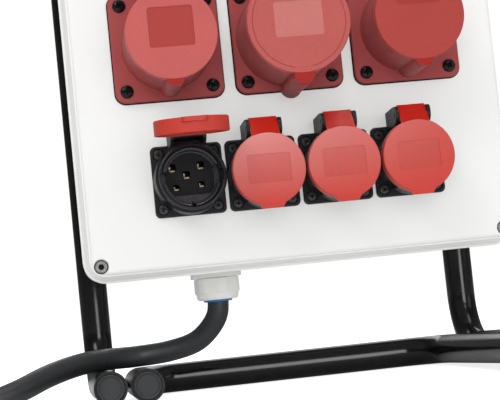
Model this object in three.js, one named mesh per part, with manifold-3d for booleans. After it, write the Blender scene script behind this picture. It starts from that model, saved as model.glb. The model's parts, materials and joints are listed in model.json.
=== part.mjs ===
// Portable power distribution box: a moulded enclosure with three large and four small sockets,
// a breaker window, a supply cable with its plug, and a bent tube stand with a carrying loop.
// Millimetres. The finished group has +Z up, +X to the right and the socket face towards -Y.
// Pieces are drawn in panel axes: x right, y up, z out of the face (z = 0 on the face),
// with y = 0 on the row of small sockets.
import * as THREE from 'three';
import { mergeVertices } from 'three/addons/utils/BufferGeometryUtils.js';
import Module from 'manifold-3d';

const wasm = await Module();
wasm.setup();

// ---- driving dimensions ----------------------------------------------------------------------
const GAP = 0.3; // clearance between neighbouring pieces
const BOX_WIDTH = 311; // over the rim
const BOX_BOTTOM = -65.5;
const BOX_TOP = 326.5;
const BOX_DEPTH = 132; // face to rear wall
const RIM_RADIUS = 16;
const BASE_INSET = 3; // base walls stand in from the cover rim
const BASE_WALL = 4;
const COVER_WALL = 3.2;
const COVER_DEPTH = 22.5;
const SMALL_PITCH = 52.1;
const LARGE_PITCH = 84.7;
const LARGE_Y = 94.3;
const WINDOW_Y = 224; // breaker window centre
const PLATE_Y = { lower: -20, upper: 270 }; // cross plates that carry the enclosure
const PLATE_THICKNESS = 3;
const PLATE_FRONT_Z = -BOX_DEPTH - GAP;
const WEB_REAR_Z = PLATE_FRONT_Z - PLATE_THICKNESS;
const GLAND_X = -58;
const GLAND_Z = -70;
const SIDES = { left: -1, right: 1 };

// ---- shape helpers ---------------------------------------------------------------------------
// Outlines are lists of [x, y] pairs.
const vec3 = (x, y, z) => new THREE.Vector3(x, y, z);
const toVec2 = ([x, y]) => new THREE.Vector2(x, y);
const join = (...solids) => solids.reduce((whole, part) => whole.add(part));
const cut = (first, ...tools) => tools.reduce((rest, tool) => rest.subtract(tool), first);

// welds a closed three.js geometry into a manifold, without collapsed triangles
function solid(geometry) {
  const source = geometry.index ? geometry.toNonIndexed() : geometry;
  const bare = new THREE.BufferGeometry();
  const positions = source.attributes.position.array.slice();
  bare.setAttribute('position', new THREE.Float32BufferAttribute(positions, 3));
  const merged = mergeVertices(bare, 1e-4);
  const index = merged.index.array;
  const kept = [];
  for (let i = 0; i < index.length; i += 3) {
    const [a, b, c] = index.slice(i, i + 3);
    if (a !== b && b !== c && a !== c) kept.push(a, b, c);
  }
  return new wasm.Manifold(new wasm.Mesh({
    numProp: 3,
    vertProperties: new Float32Array(merged.attributes.position.array),
    triVerts: new Uint32Array(kept),
  }));
}

function geometryOf(shape) {
  const mesh = shape.getMesh();
  const geometry = new THREE.BufferGeometry();
  const positions = mesh.vertProperties.slice();
  geometry.setAttribute('position', new THREE.Float32BufferAttribute(positions, 3));
  geometry.setIndex(new THREE.Uint32BufferAttribute(mesh.triVerts.slice(), 1));
  return geometry;
}

// rounded rectangle with `steps` segments to each corner
function roundRect(width, height, radius, steps, cx = 0, cy = 0) {
  const points = [];
  [[1, 1], [-1, 1], [-1, -1], [1, -1]].forEach(([sx, sy], quarter) => {
    for (let i = 0; i <= steps; i++) {
      const angle = (Math.PI / 2) * (quarter + i / steps);
      points.push([
        cx + sx * (width / 2 - radius) + radius * Math.cos(angle),
        cy + sy * (height / 2 - radius) + radius * Math.sin(angle),
      ]);
    }
  });
  return points;
}

function ringPoints(radius, count, cx = 0, cy = 0, start = 0) {
  return Array.from({ length: count }, (_, i) => {
    const angle = start + (2 * Math.PI * i) / count;
    return [cx + radius * Math.cos(angle), cy + radius * Math.sin(angle)];
  });
}

function shapeOf(outline, holes = []) {
  const shape = new THREE.Shape(outline.map(toVec2));
  shape.holes = holes.map((hole) => new THREE.Path(hole.map(toVec2)));
  return shape;
}

const extrude = (outline, depth, holes) => new THREE.ExtrudeGeometry(
  shapeOf(outline, holes),
  { depth, bevelEnabled: false, steps: 1 },
);

const prism = (outline, z0, z1, holes) => (
  solid(extrude(outline, z1 - z0, holes).translate(0, 0, z0))
);
const disc = (radius, z0, z1, count, cx, cy) => prism(ringPoints(radius, count, cx, cy), z0, z1);
const discsAt = (spots, radius, z0, z1, count) => (
  join(...spots.map(([x, y]) => disc(radius, z0, z1, count, x, y)))
);
const block = (x0, x1, y0, y1, z0, z1) => prism([[x0, y0], [x1, y0], [x1, y1], [x0, y1]], z0, z1);
const squareCorners = (half) => [[-half, -half], [half, -half], [-half, half], [half, half]];

// prism of an outline of [y, z] pairs: drawn as (-z, y), extruded along z, then turned onto x
const slabX = (outline, x0, x1) => solid(
  extrude(outline.map(([y, z]) => [-z, y]), x1 - x0).rotateY(Math.PI / 2).translate(x0, 0, 0),
);
const barX = (radius, x0, x1, y, z, count) => slabX(ringPoints(radius, count, y, z), x0, x1);

const barY = (radius, y0, y1, count) => solid(
  new THREE.CylinderGeometry(radius, radius, y1 - y0, count).translate(0, (y0 + y1) / 2, 0),
);

// body of revolution about y from [radius, height] pairs
const turned = (profile, count) => solid(new THREE.LatheGeometry(profile.map(toVec2), count));

// solid through [outline, z] levels, all with the same number of points
function lofted(levels) {
  const count = levels[0][0].length;
  const last = levels.length - 1;
  const positions = [];
  const addTriangle = (...corners) => positions.push(...corners.flat());
  const at = (level, i) => [...levels[level][0][i % count], levels[level][1]];
  const capFaces = (level) => (
    THREE.ShapeUtils.triangulateShape(levels[level][0].map(toVec2), [])
  );
  for (let level = 0; level < last; level++) {
    for (let i = 0; i < count; i++) {
      addTriangle(at(level, i), at(level, i + 1), at(level + 1, i + 1));
      addTriangle(at(level, i), at(level + 1, i + 1), at(level + 1, i));
    }
  }
  for (const [a, b, c] of capFaces(0)) addTriangle(at(0, a), at(0, c), at(0, b));
  for (const [a, b, c] of capFaces(last)) addTriangle(at(last, a), at(last, b), at(last, c));
  const geometry = new THREE.BufferGeometry();
  geometry.setAttribute('position', new THREE.Float32BufferAttribute(positions, 3));
  return solid(geometry);
}

// Sweep path with one section at each given point, so straight runs need no extra sections.
// The sweep asks only for the points themselves, at u = i / (number of runs).
class SampledPath extends THREE.Curve {
  constructor(points) {
    super();
    this.points = points;
    this.runs = points.length - 1;
    const directions = points.slice(1).map((end, i) => end.clone().sub(points[i]).normalize());
    this.tangents = points.map((_, i) => {
      const before = directions[Math.max(i - 1, 0)];
      const after = directions[Math.min(i, this.runs - 1)];
      return before.clone().add(after).normalize();
    });
  }

  getPointAt(u) {
    return this.points[Math.round(u * this.runs)].clone();
  }

  getTangentAt(u) {
    return this.tangents[Math.round(u * this.runs)].clone();
  }
}

// corner points joined by straight runs and round bends
function bentPath(corners, radius, bendSteps) {
  const points = [corners[0]];
  for (let i = 1; i + 1 < corners.length; i++) {
    const incoming = corners[i].clone().sub(corners[i - 1]).normalize();
    const outgoing = corners[i + 1].clone().sub(corners[i]).normalize();
    const turn = incoming.angleTo(outgoing);
    const start = corners[i].clone().addScaledVector(incoming, -radius * Math.tan(turn / 2));
    const inward = outgoing.clone()
      .addScaledVector(incoming, -outgoing.dot(incoming))
      .normalize();
    for (let step = 0; step <= bendSteps; step++) {
      const angle = (turn * step) / bendSteps;
      points.push(start.clone()
        .addScaledVector(incoming, radius * Math.sin(angle))
        .addScaledVector(inward, radius * (1 - Math.cos(angle))));
    }
  }
  points.push(corners[corners.length - 1]);
  return new SampledPath(points);
}

function sweep(path, radius, count, boreRadius = 0) {
  const holes = boreRadius ? [ringPoints(boreRadius, count)] : [];
  return solid(new THREE.ExtrudeGeometry(
    shapeOf(ringPoints(radius, count), holes),
    { steps: path.runs, extrudePath: path, bevelEnabled: false },
  ));
}

// five contacts on a circle; the first, at the bottom, is the larger one
function contactSpots(circleRadius, firstRadius, otherRadius) {
  return ringPoints(circleRadius, 5, 0, 0, -Math.PI / 2)
    .map(([x, y], i) => ({ x, y, radius: i === 0 ? firstRadius : otherRadius }));
}

// latch tab below a lid: widest at its root, with a short neck running up under the lid
const tabOutline = ({ rootHalf, endHalf, rootY, endY, neck }) => [
  [-endHalf, endY], [endHalf, endY], [rootHalf, rootY],
  [3, rootY + neck], [-3, rootY + neck], [-rootHalf, rootY],
];

// ---- finishes: each mesh gets its own material -----------------------------------------------
const finish = (settings) => () => new THREE.MeshStandardMaterial(settings);
const GREY = finish({ color: 0xe9e8e5, roughness: 0.55 });
const RED = finish({ color: 0xcf3f3a, roughness: 0.5 });
const DARK_RED = finish({ color: 0x8e3236, roughness: 0.55 });
const BLACK = finish({ color: 0x26272b, roughness: 0.6 });
const LACQUER = finish({ color: 0x16171a, roughness: 0.25, metalness: 0.3 });
const RUBBER = finish({ color: 0x2b2c2d, roughness: 0.8 });
const STEEL = finish({ color: 0xb6b8ba, roughness: 0.35, metalness: 1 });
const BLUE = finish({ color: 0x3f8fd8, roughness: 0.5 });
const PALE = finish({ color: 0xd9dcd8, roughness: 0.5 });
const DEVICE = finish({ color: 0xe6e6e2, roughness: 0.5 });
const SMOKE = finish({ color: 0x6d747a, roughness: 0.15, transparent: true, opacity: 0.35 });

// ---- scene helpers ---------------------------------------------------------------------------
function place(parent, name, shape, material, position = [0, 0, 0]) {
  const mesh = new THREE.Mesh(geometryOf(shape), material());
  mesh.name = name;
  mesh.position.set(...position);
  parent.add(mesh);
  return mesh;
}

function addGroup(parent, x = 0, y = 0, z = 0) {
  const group = new THREE.Group();
  group.position.set(x, y, z);
  parent.add(group);
  return group;
}

const whole = new THREE.Group();
const panel = addGroup(whole);
panel.rotation.x = Math.PI / 2; // panel axes into the +Z up frame

// ---- stand -----------------------------------------------------------------------------------
const TUBE = { radius: 11, bore: 9.4, count: 12, bendSteps: 5 };
// x, y, z: floor corners. The arms rise a little towards their tips in front of the box,
// and the right tips lie slightly lower than the left ones.
const LOOP = {
  x: 147, y: -141.7, z: -146.5, tipX: 147.1, tipY: { left: -133.9, right: -135 }, bendRadius: 40,
};
const BASE_U = {
  x: 119.7, y: -141.2, z: -132, tipX: 123.3, tipY: { left: -134.4, right: -135.5 }, bendRadius: 32,
};
const LOOP_TOP = 385;
const ARM_TIP_Z = 64;
const PLATE_HEIGHT = 32;
const WELD_TAB = { inner: 132.65, outer: 135.95, bottom: -140.4, top: -136.4, rear: -72, front: -32 };

const stand = addGroup(panel);
const armTip = (tube, side) => vec3(SIDES[side] * tube.tipX, tube.tipY[side], ARM_TIP_Z);
const corner = (tube, side, y = tube.y) => vec3(SIDES[side] * tube.x, y, tube.z);

function bentTube(tube, upperCorners = []) {
  const path = bentPath([
    armTip(tube, 'left'), corner(tube, 'left'), ...upperCorners,
    corner(tube, 'right'), armTip(tube, 'right'),
  ], tube.bendRadius, TUBE.bendSteps);
  return sweep(path, TUBE.radius, TUBE.count, TUBE.bore);
}

const loopTop = [corner(LOOP, 'left', LOOP_TOP), corner(LOOP, 'right', LOOP_TOP)];
place(stand, 'upright_loop', bentTube(LOOP, loopTop), LACQUER);
place(stand, 'base_u_tube', bentTube(BASE_U), LACQUER);

// hat section plate between the uprights; the enclosure hangs on its web
function crossPlate() {
  const rear = -148;
  const rightHalf = [ // [x, z]
    [127, WEB_REAR_Z], [127, rear], [135.6, rear],
    [135.6, rear + PLATE_THICKNESS], [130, rear + PLATE_THICKNESS], [130, PLATE_FRONT_Z],
  ];
  const leftHalf = rightHalf.map(([x, z]) => [-x, z]).reverse();
  // the turn takes drawn y onto +z and the extrusion onto -y
  return solid(extrude([...leftHalf, ...rightHalf], PLATE_HEIGHT)
    .rotateX(Math.PI / 2)
    .translate(0, PLATE_HEIGHT / 2, 0));
}
for (const [level, y] of Object.entries(PLATE_Y)) {
  place(stand, `${level}_cross_plate`, crossPlate(), LACQUER, [0, y, 0]);
}

// weld tabs between each pair of floor arms
for (const [side, sign] of Object.entries(SIDES)) {
  const { inner, outer, bottom, top, rear, front } = WELD_TAB;
  const tab = block(sign * inner, sign * outer, bottom, top, rear, front);
  place(stand, `${side}_weld_tab`, tab, LACQUER);
}

// recessed plugs pressed into the four arm ends, each along the line of its arm
const endPlug = cut(disc(9, -16, -0.4, 16), disc(6.8, -1.4, 1, 16));
for (const [kind, tube] of [['loop', LOOP], ['base', BASE_U]]) {
  for (const side of Object.keys(SIDES)) {
    const tip = armTip(tube, side);
    const direction = tip.clone().sub(corner(tube, side)).normalize();
    const group = addGroup(stand, ...tip);
    group.quaternion.setFromUnitVectors(vec3(0, 0, 1), direction);
    place(group, `${side}_${kind}_end_plug`, endPlug, BLACK);
  }
}

// ---- large socket sizes ----------------------------------------------------------------------
// frontZ is the closed lid's face; contactCircle is the radius the contact bores stand on.
const NARROW_SOCKET = {
  lidRadius: 31, frontZ: 53.5, boreRadius: 27.2, rearRadius: 29.6, panelHoleRadius: 30.2,
  bossRadius: 6.5, bossY: -29.2, carrierRadius: 21.5, contactRadius: 3.2, contactCircle: 13.5,
  tab: { rootHalf: 6.4, endHalf: 3.2, rootY: -29, endY: -35.4, neck: 6 },
  label: { width: 31, height: 26, y: 3.5 },
};
const WIDE_SOCKET = {
  lidRadius: 35, frontZ: 61.8, boreRadius: 31, rearRadius: 31.4, panelHoleRadius: 32.2,
  bossRadius: 7, bossY: -35.9, carrierRadius: 24.5, contactRadius: 3.7, contactCircle: 15.5,
  tab: { rootHalf: 7, endHalf: 4.6, rootY: -33, endY: -42, neck: 6 },
  label: { width: 33, height: 24, y: 2 },
};
const LARGE_SOCKETS = [
  { side: 'left', x: -LARGE_PITCH, size: NARROW_SOCKET },
  { side: 'middle', x: 0, size: WIDE_SOCKET },
  { side: 'right', x: LARGE_PITCH, size: NARROW_SOCKET },
];
const SMALL_SOCKETS = ['first', 'second', 'third', 'fourth']
  .map((order, i) => ({ order, x: (i - 1.5) * SMALL_PITCH }));

// ---- enclosure -------------------------------------------------------------------------------
const SCREW_SPOTS = [[-143.5, -54], [143.5, -54], [-143.5, 315], [143.5, 315]];
const enclosure = addGroup(panel);

const boxOutline = (inset) => roundRect(
  BOX_WIDTH - 2 * inset,
  BOX_TOP - BOX_BOTTOM - 2 * inset,
  RIM_RADIUS - inset,
  3,
  0,
  (BOX_TOP + BOX_BOTTOM) / 2,
);

// open tray with a chamfered rear edge, screw posts and a cable hole in its lower wall
function enclosureBase() {
  const front = -COVER_DEPTH - GAP;
  const chamfer = 3;
  const tray = cut(
    lofted([
      [boxOutline(BASE_INSET + chamfer), -BOX_DEPTH],
      [boxOutline(BASE_INSET), -BOX_DEPTH + chamfer],
      [boxOutline(BASE_INSET), front],
    ]),
    prism(boxOutline(BASE_INSET + BASE_WALL), -BOX_DEPTH + BASE_WALL, front + 1),
  );
  const wallFace = BOX_BOTTOM + BASE_INSET;
  return cut(
    join(tray, discsAt(SCREW_SPOTS, 6.6, -BOX_DEPTH + 1, front, 12)),
    barY(16.4, wallFace - 15, wallFace + 15, 14).translate([GLAND_X, 0, GLAND_Z]),
    discsAt(SCREW_SPOTS, 2.4, -60, front + 1, 8),
  );
}

// shell with a drafted skirt and a soft-edged face, pierced for screws, sockets and window
function enclosureCover() {
  const rear = -COVER_DEPTH - 1;
  const holeRear = -COVER_WALL - 1;
  const skin = lofted([
    [boxOutline(0), -COVER_DEPTH], [boxOutline(0), -18.6], [boxOutline(4.6), -3.1],
    [boxOutline(6.4), -0.8], [boxOutline(8.4), 0],
  ]);
  const hollow = cut(
    prism(boxOutline(9.4), rear, -COVER_WALL),
    discsAt(SCREW_SPOTS, 8.6, rear - 1, 0, 10), // leaves the screw posts standing
  );
  return cut(
    skin,
    hollow,
    discsAt(SCREW_SPOTS, 2.6, rear, 1, 8),
    discsAt(SCREW_SPOTS, 5.25, -6.3, 1, 12),
    discsAt(SMALL_SOCKETS.map(({ x }) => [x, 0]), 22.1, holeRear, 1, 16),
    ...LARGE_SOCKETS.map(({ x, size }) => (
      disc(size.panelHoleRadius, holeRear, 1, 20, x, LARGE_Y)
    )),
    block(-109.2, 109.2, WINDOW_Y - 23, WINDOW_Y + 23, holeRear, 1),
  );
}

place(enclosure, 'enclosure_base', enclosureBase(), GREY);
place(enclosure, 'enclosure_cover', enclosureCover(), GREY);

const coverScrew = cut(
  join(disc(4.2, -6, -1.5, 12), disc(2, -46, -5.5, 6)),
  disc(2.3, -4.2, 0, 6), // hexagon recess
);
SCREW_SPOTS.forEach(([x, y], i) => {
  place(enclosure, `cover_screw_${i + 1}`, coverScrew, STEEL, [x, y, 0]);
});

// ---- large sockets ---------------------------------------------------------------------------
const FLANGE = { size: 76, corner: 7.5, rear: 1.8, front: 4.8, holeSpot: 30 };
const LUG_RADIUS = 4.2;
const LID_THICKNESS = 3.2;
const SKIRT_REAR = 6.2; // lid skirt edge behind the lid face
const largeHinge = ({ lidRadius, frontZ }) => ({ y: lidRadius + 5.5, z: frontZ - 5.2 });

// flange, housing, latch boss, rear tube, hinge bracket and lugs in one moulding
function largeBody(size) {
  const { lidRadius, frontZ, rearRadius } = size;
  const hinge = largeHinge(size);
  const bracketBottom = 19;
  const bracketTop = hinge.y + 4.5;
  const lugOutline = [ // [y, z]
    [hinge.y - LUG_RADIUS - 6, frontZ - 30], [hinge.y + LUG_RADIUS, frontZ - 30],
    [hinge.y + LUG_RADIUS, hinge.z], [hinge.y - LUG_RADIUS, hinge.z],
    [hinge.y - LUG_RADIUS - 6, frontZ - 18],
  ];
  const lug = (x0, x1) => join(
    slabX(lugOutline, x0, x1),
    barX(LUG_RADIUS, x0, x1, hinge.y, hinge.z, 10),
  );
  const bracket = roundRect(
    27, bracketTop - bracketBottom, 2, 1, 0, (bracketTop + bracketBottom) / 2,
  );
  return cut(
    join(
      prism(roundRect(FLANGE.size, FLANGE.size, FLANGE.corner, 3), FLANGE.rear, FLANGE.front),
      disc(lidRadius - 0.6, 4, frontZ - 6.5, 28),
      disc(size.bossRadius, 4, frontZ - 3.4, 12, 0, size.bossY),
      disc(rearRadius, -22, 4, 20),
      prism(bracket, 4, frontZ - 24),
      lug(-13.6, -9.4),
      lug(9.4, 13.6),
    ),
    disc(size.boreRadius, 1, frontZ, 20),
    disc(lidRadius + 0.6, frontZ - 6.5, frontZ + 1, 28), // room for the lid in the latch boss
    disc(rearRadius - 2.4, -23, 2, 20),
    barX(1.8, -20, 20, hinge.y, hinge.z, 8),
    discsAt(squareCorners(FLANGE.holeSpot), 2.3, 0, 6, 6),
  );
}

function largeGasket({ rearRadius }) {
  const side = FLANGE.size + 1.2;
  return prism(roundRect(side, side, 8, 3), GAP, 1.5, [ringPoints(rearRadius + 0.4, 20)]);
}

// carrier with five contact bores and a keyway at the bottom
function largeCarrier(size) {
  const { carrierRadius, contactRadius, contactCircle, frontZ, rearRadius } = size;
  return cut(
    join(disc(carrierRadius, -18, frontZ - 22, 20), disc(rearRadius - 2.7, -20, -14, 20)),
    ...contactSpots(contactCircle, contactRadius + 0.7, contactRadius)
      .map(({ x, y, radius }) => disc(radius, 4, frontZ, 6, x, y)),
    block(-2, 2, -carrierRadius - 1, -carrierRadius + 1.6, 0, frontZ),
  );
}

// capped disc with a latch tab below, a hinge barrel above and a shallow label recess
function largeLid(size) {
  const { lidRadius, frontZ, label } = size;
  const hinge = largeHinge(size);
  const skirt = cut(
    disc(lidRadius, frontZ - SKIRT_REAR, frontZ - 3, 28),
    disc(lidRadius - 1.8, frontZ - 7, frontZ - 2, 20),
  );
  const hingeArm = [ // [y, z]
    [lidRadius - 6, frontZ - 3], [hinge.y, hinge.z - 3.2], [hinge.y + 3.2, hinge.z],
    [hinge.y + 1.6, hinge.z + 2.8], [lidRadius - 6, frontZ],
  ];
  return cut(
    join(
      disc(lidRadius, frontZ - LID_THICKNESS, frontZ, 28),
      skirt,
      prism(tabOutline(size.tab), frontZ - 3, frontZ),
      slabX(hingeArm, -9, 9),
      barX(3.3, -9, 9, hinge.y, hinge.z, 10),
    ),
    barX(1.8, -10, 10, hinge.y, hinge.z, 8),
    prism(roundRect(label.width, label.height, 2, 1, 0, label.y), frontZ - 0.4, frontZ + 1),
  );
}

for (const { side, x, size } of LARGE_SOCKETS) {
  const group = addGroup(panel, x, LARGE_Y);
  const tag = `${side}_large_socket`;
  const hinge = largeHinge(size);
  place(group, `${tag}_body`, largeBody(size), DARK_RED);
  place(group, `${tag}_gasket`, largeGasket(size), BLACK);
  place(group, `${tag}_contact_carrier`, largeCarrier(size), BLACK);
  place(group, `${tag}_lid`, largeLid(size), RED);
  place(group, `${tag}_hinge_pin`, barX(1.5, -14.2, 14.2, hinge.y, hinge.z, 10), STEEL);
}

// ---- small sockets ---------------------------------------------------------------------------
const SMALL_HINGE = { y: 29.5, z: 28.8 };
const SMALL_FRONT = 36.8; // closed lid face
const SMALL_TAB = { rootHalf: 9.35, endHalf: 6.85, rootY: -23, endY: -26.7, neck: 3 };
const FIRST_LID_OPEN = THREE.MathUtils.degToRad(86.5);

function smallBody() {
  const screwSpots = squareCorners(19);
  const cheek = [ // hinge cheek, [y, z]
    [22, 0.4], [34.3, 0.4], [35.4, 20], [35.4, 29], [33, 32],
    [26.8, 32], [24.2, 29.5], [23.6, 26.2], [22, 25.4],
  ];
  return cut(
    join(
      prism(roundRect(49.6, 49.6, 3.6, 2), 0.4, 3.4),
      disc(24.4, 3, 25.8, 20),
      disc(22.6, 20, 33, 20),
      disc(21.6, -16, 2, 16),
      slabX(cheek, -12.3, -9.95),
      slabX(cheek, 9.95, 12.3),
      block(-10.2, 10.2, 22, 34.3, 0.4, 6),
    ),
    disc(20.4, -17, 34, 16),
    discsAt(screwSpots, 4.7, 3.4, 27, 8),
    discsAt(screwSpots, 1.9, -1, 4, 6),
    block(-9.95, 9.95, 23.2, 30, 14, 27), // room for the lid neck between the cheeks
    block(-21.4, -19, -4, 4, 14, 34),
    block(19, 21.4, -4, 4, 14, 34),
    barX(1.6, -13, 13, SMALL_HINGE.y, SMALL_HINGE.z, 8),
  );
}

// drawn closed, then moved so that its hinge axis is the origin and it can be turned open
function smallLid() {
  const front = SMALL_FRONT;
  const neck = [ // [y, z]
    [20, front - 2.6], [23.6, front - 2.8], [26.6, 29], [27, 26.4], [29.5, 25.9], [32, 26.6],
    [36.4, 23.9], [36.5, 26.2], [30.5, 31.6], [23, front], [20, front],
  ];
  return cut(
    join(
      disc(25, front - 2.6, front, 28),
      cut(disc(25, front - 10, front - 2, 28), disc(23.3, front - 11, front - 1, 20)),
      prism(tabOutline(SMALL_TAB), front - 3, front),
      slabX(neck, -9.65, 9.65),
      barX(1.3, -11.9, 11.9, SMALL_HINGE.y, SMALL_HINGE.z, 8),
    ),
    block(-15, 15, -9.5, 10.5, front - 0.4, front + 1),
  ).translate([0, -SMALL_HINGE.y, -SMALL_HINGE.z]);
}

function smallCarrier() {
  const holes = [ // x0, x1, y0, y1
    [-14.2, -9, 5.2, 10.8], [5.6, 10.8, 5.6, 11.2], [-4.6, 0.6, -0.2, 5.4],
    [-12, -7.6, -7.8, -3.4], [5.6, 10, -6.8, -2.4],
  ];
  return cut(disc(19.9, -14, 12, 20), ...holes.map((hole) => block(...hole, -4, 13)));
}

for (const { order, x } of SMALL_SOCKETS) {
  const group = addGroup(panel, x);
  const tag = `${order}_small_socket`;
  place(group, `${tag}_body`, smallBody(), BLACK);
  place(group, `${tag}_contact_carrier`, smallCarrier(), BLACK);
  const hinge = [0, SMALL_HINGE.y, SMALL_HINGE.z];
  const lid = place(group, `${tag}_lid`, smallLid(), RED, hinge);
  if (order === 'first') lid.rotation.x = -FIRST_LID_OPEN;
}

// ---- breaker window --------------------------------------------------------------------------
const FLAP_HINGE = { y: 51.5, z: 12.5 };
const windowGroup = addGroup(panel, 0, WINDOW_Y);

function windowFrame() {
  const lug = (x0, x1) => cut(
    join(
      slabX([[48.4, 6], [54.6, 6], [54.6, 12.5], [48.4, 12.5]], x0, x1),
      barX(3.1, x0, x1, FLAP_HINGE.y, FLAP_HINGE.z, 12),
    ),
    barX(1.6, x0 - 1, x1 + 1, FLAP_HINGE.y, FLAP_HINGE.z, 10),
  );
  return join(
    prism(roundRect(252, 108, 6, 3, 0, 2), GAP, 8, [roundRect(222, 58, 3, 2)]),
    lug(-106, -100),
    lug(100, 106),
  );
}

// clear shell, open to the rear, with a hinge strip and pin along its top edge
function windowFlap() {
  const strip = [ // [y, z]
    [46.4, 10], [50.5, 9.8], [54, 11.5], [54, 13.6], [50.5, 15.4], [46.4, 15.4],
  ];
  return join(
    cut(
      prism(roundRect(244, 94, 6, 3, 0, 0.6), 8.4, 24),
      prism(roundRect(238, 88, 4, 3, 0, 0.6), 7, 21.4),
    ),
    slabX(strip, -99.4, 99.4),
    barX(1.3, -105.6, 105.6, FLAP_HINGE.y, FLAP_HINGE.z, 10),
  );
}

// top hat rail behind the devices, [y, z]
const RAIL_OUTLINE = [
  [-17.5, -52.4], [-17.5, -53.6], [-13.5, -53.6], [-13.5, -60], [13.5, -60], [13.5, -53.6],
  [17.5, -53.6], [17.5, -52.4], [12.3, -52.4], [12.3, -58.8], [-12.3, -58.8], [-12.3, -52.4],
];
place(windowGroup, 'window_frame', windowFrame(), PALE);
place(windowGroup, 'window_flap', windowFlap(), SMOKE);
place(windowGroup, 'din_rail', slabX(RAIL_OUTLINE, -125, 125), STEEL);

// stepped housing with a slot for the toggle
function deviceBody(width, slot) {
  const half = width / 2 - GAP / 2;
  const outline = [ // [y, z]
    [-41, -52], [41, -52], [41, -13], [22.3, -13],
    [22.3, 4], [-22.3, 4], [-22.3, -13], [-41, -13],
  ];
  return cut(
    slabX(outline, -half, half),
    block(-slot / 2, slot / 2, -8.6, 8.6, -8.5, 5),
  );
}

// pivot at the origin; the lever leans upwards from the face normal
function toggle(width) {
  const lean = THREE.MathUtils.degToRad(38);
  const lever = [[-2, 0], [2, 0], [1.6, 15], [-1.6, 15]].map(([y, z]) => [
    y * Math.cos(lean) + z * Math.sin(lean),
    -y * Math.sin(lean) + z * Math.cos(lean),
  ]);
  return join(barX(5, -width / 2, width / 2, 0, 0, 12), slabX(lever, -width / 2, width / 2));
}

const DEVICES = [ // left to right, side by side
  { name: 'residual_current_breaker', width: 72, slot: 14, testButton: true },
  { name: 'breaker_1', width: 54, slot: 50 },
  { name: 'breaker_2', width: 54, slot: 50 },
  { name: 'breaker_3', width: 36, slot: 32 },
];
const BUTTON = { x: 22, y: 10 };
let deviceLeft = -DEVICES.reduce((total, { width }) => total + width, 0) / 2;
for (const { name, width, slot, testButton } of DEVICES) {
  const group = addGroup(windowGroup, deviceLeft + width / 2);
  let body = deviceBody(width, slot);
  if (testButton) {
    body = cut(body, disc(3.3, -8, 6, 12, BUTTON.x, BUTTON.y));
    const button = disc(3, -5.5, 5.6, 12);
    place(group, 'residual_current_test_button', button, BLUE, [BUTTON.x, BUTTON.y, 0]);
  }
  place(group, `${name}_body`, body, DEVICE);
  place(group, `${name}_toggle`, toggle(slot - 0.8), BLACK, [0, 0, -2]);
  deviceLeft += width;
}

// ---- cable entry -----------------------------------------------------------------------------
const entry = addGroup(panel, GLAND_X, 0, GLAND_Z);
const wallY = BOX_BOTTOM + BASE_INSET; // outer face of the lower wall
const HEX_FLATS = 35.5;

// hexagon under the wall and a sleeve through it
place(entry, 'gland_body', cut(
  join(
    barY(HEX_FLATS / Math.sqrt(3), wallY - 5.6, wallY - GAP, 6),
    barY(15.8, wallY - 1, wallY + 15, 14),
  ),
  barY(9, -90, 0, 14),
), PALE);
place(entry, 'gland_dome_nut', cut(
  turned([ // [radius, y]
    [0, wallY - 22], [12.6, wallY - 22], [15.1, wallY - 20], [15.5, wallY - 17.5],
    [16.5, wallY - 17], [16.5, wallY - 5.9], [0, wallY - 5.9],
  ], 16),
  barY(11, -100, 0, 14),
), PALE);
place(entry, 'gland_seal', cut(
  barY(10.7, wallY - 23.2, wallY - 8, 14),
  barY(8.3, -100, 0, 14),
), BLUE);

// from inside the box down through the gland, round the left side and back into the plug
const CABLE_RADIUS = 7.85;
const CABLE_KNOTS = [ // x, y, z
  [-58, -40, -70], [-58, -60, -70], [-58, -84, -70], [-59.6, -95, -71], [-65.7, -104.8, -74],
  [-76.6, -113.6, -78], [-96.2, -118.6, -82], [-121, -120.1, -82], [-141.3, -119.7, -70],
  [-161, -120, -45], [-185, -124.4, -12], [-212, -133.5, 14], [-245, -141.2, 22],
  [-282, -142.4, 8], [-300, -142.4, -28], [-303, -139.5, -56], [-303, -130, -82],
  [-303, -120.4, -104], [-303, -118.3, -117], [-303, -118.3, -134],
].map((knot) => vec3(...knot));
const cableCurve = new THREE.CatmullRomCurve3(CABLE_KNOTS, false, 'centripetal');
const cablePath = new SampledPath(cableCurve.getSpacedPoints(38));
place(panel, 'supply_cable', sweep(cablePath, CABLE_RADIUS, 8), RUBBER);

// plug body of revolution with a cable bore, an open pin chamber and five pins
function supplyPlug() {
  const profile = [ // [radius, distance from the cable end]
    [0, 0], [11.5, 0], [13.5, 3], [14.5, 18], [24, 30],
    [27.5, 60], [29, 64], [31.6, 66], [31.6, 108], [0, 108],
  ];
  const shell = cut(turned(profile, 20), barY(28.4, 71, 109, 20), barY(8.8, -4, 26, 12));
  const pins = contactSpots(15.5, 3.6, 3)
    .map(({ x, y, radius }) => barY(radius, 69, 103, 6).translate([x, 0, y]));
  return join(shell, ...pins);
}
const plugGroup = addGroup(panel, -303, -118.3, -120);
plugGroup.rotation.x = -Math.PI / 2; // turned height runs to -z, so the pins face the rear
place(plugGroup, 'supply_plug', supplyPlug(), RED);

// ---- origin: centre of the lower cross plate's rear web face ---------------------------------
whole.position.set(0, WEB_REAR_Z, -PLATE_Y.lower);

export default whole;
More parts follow.
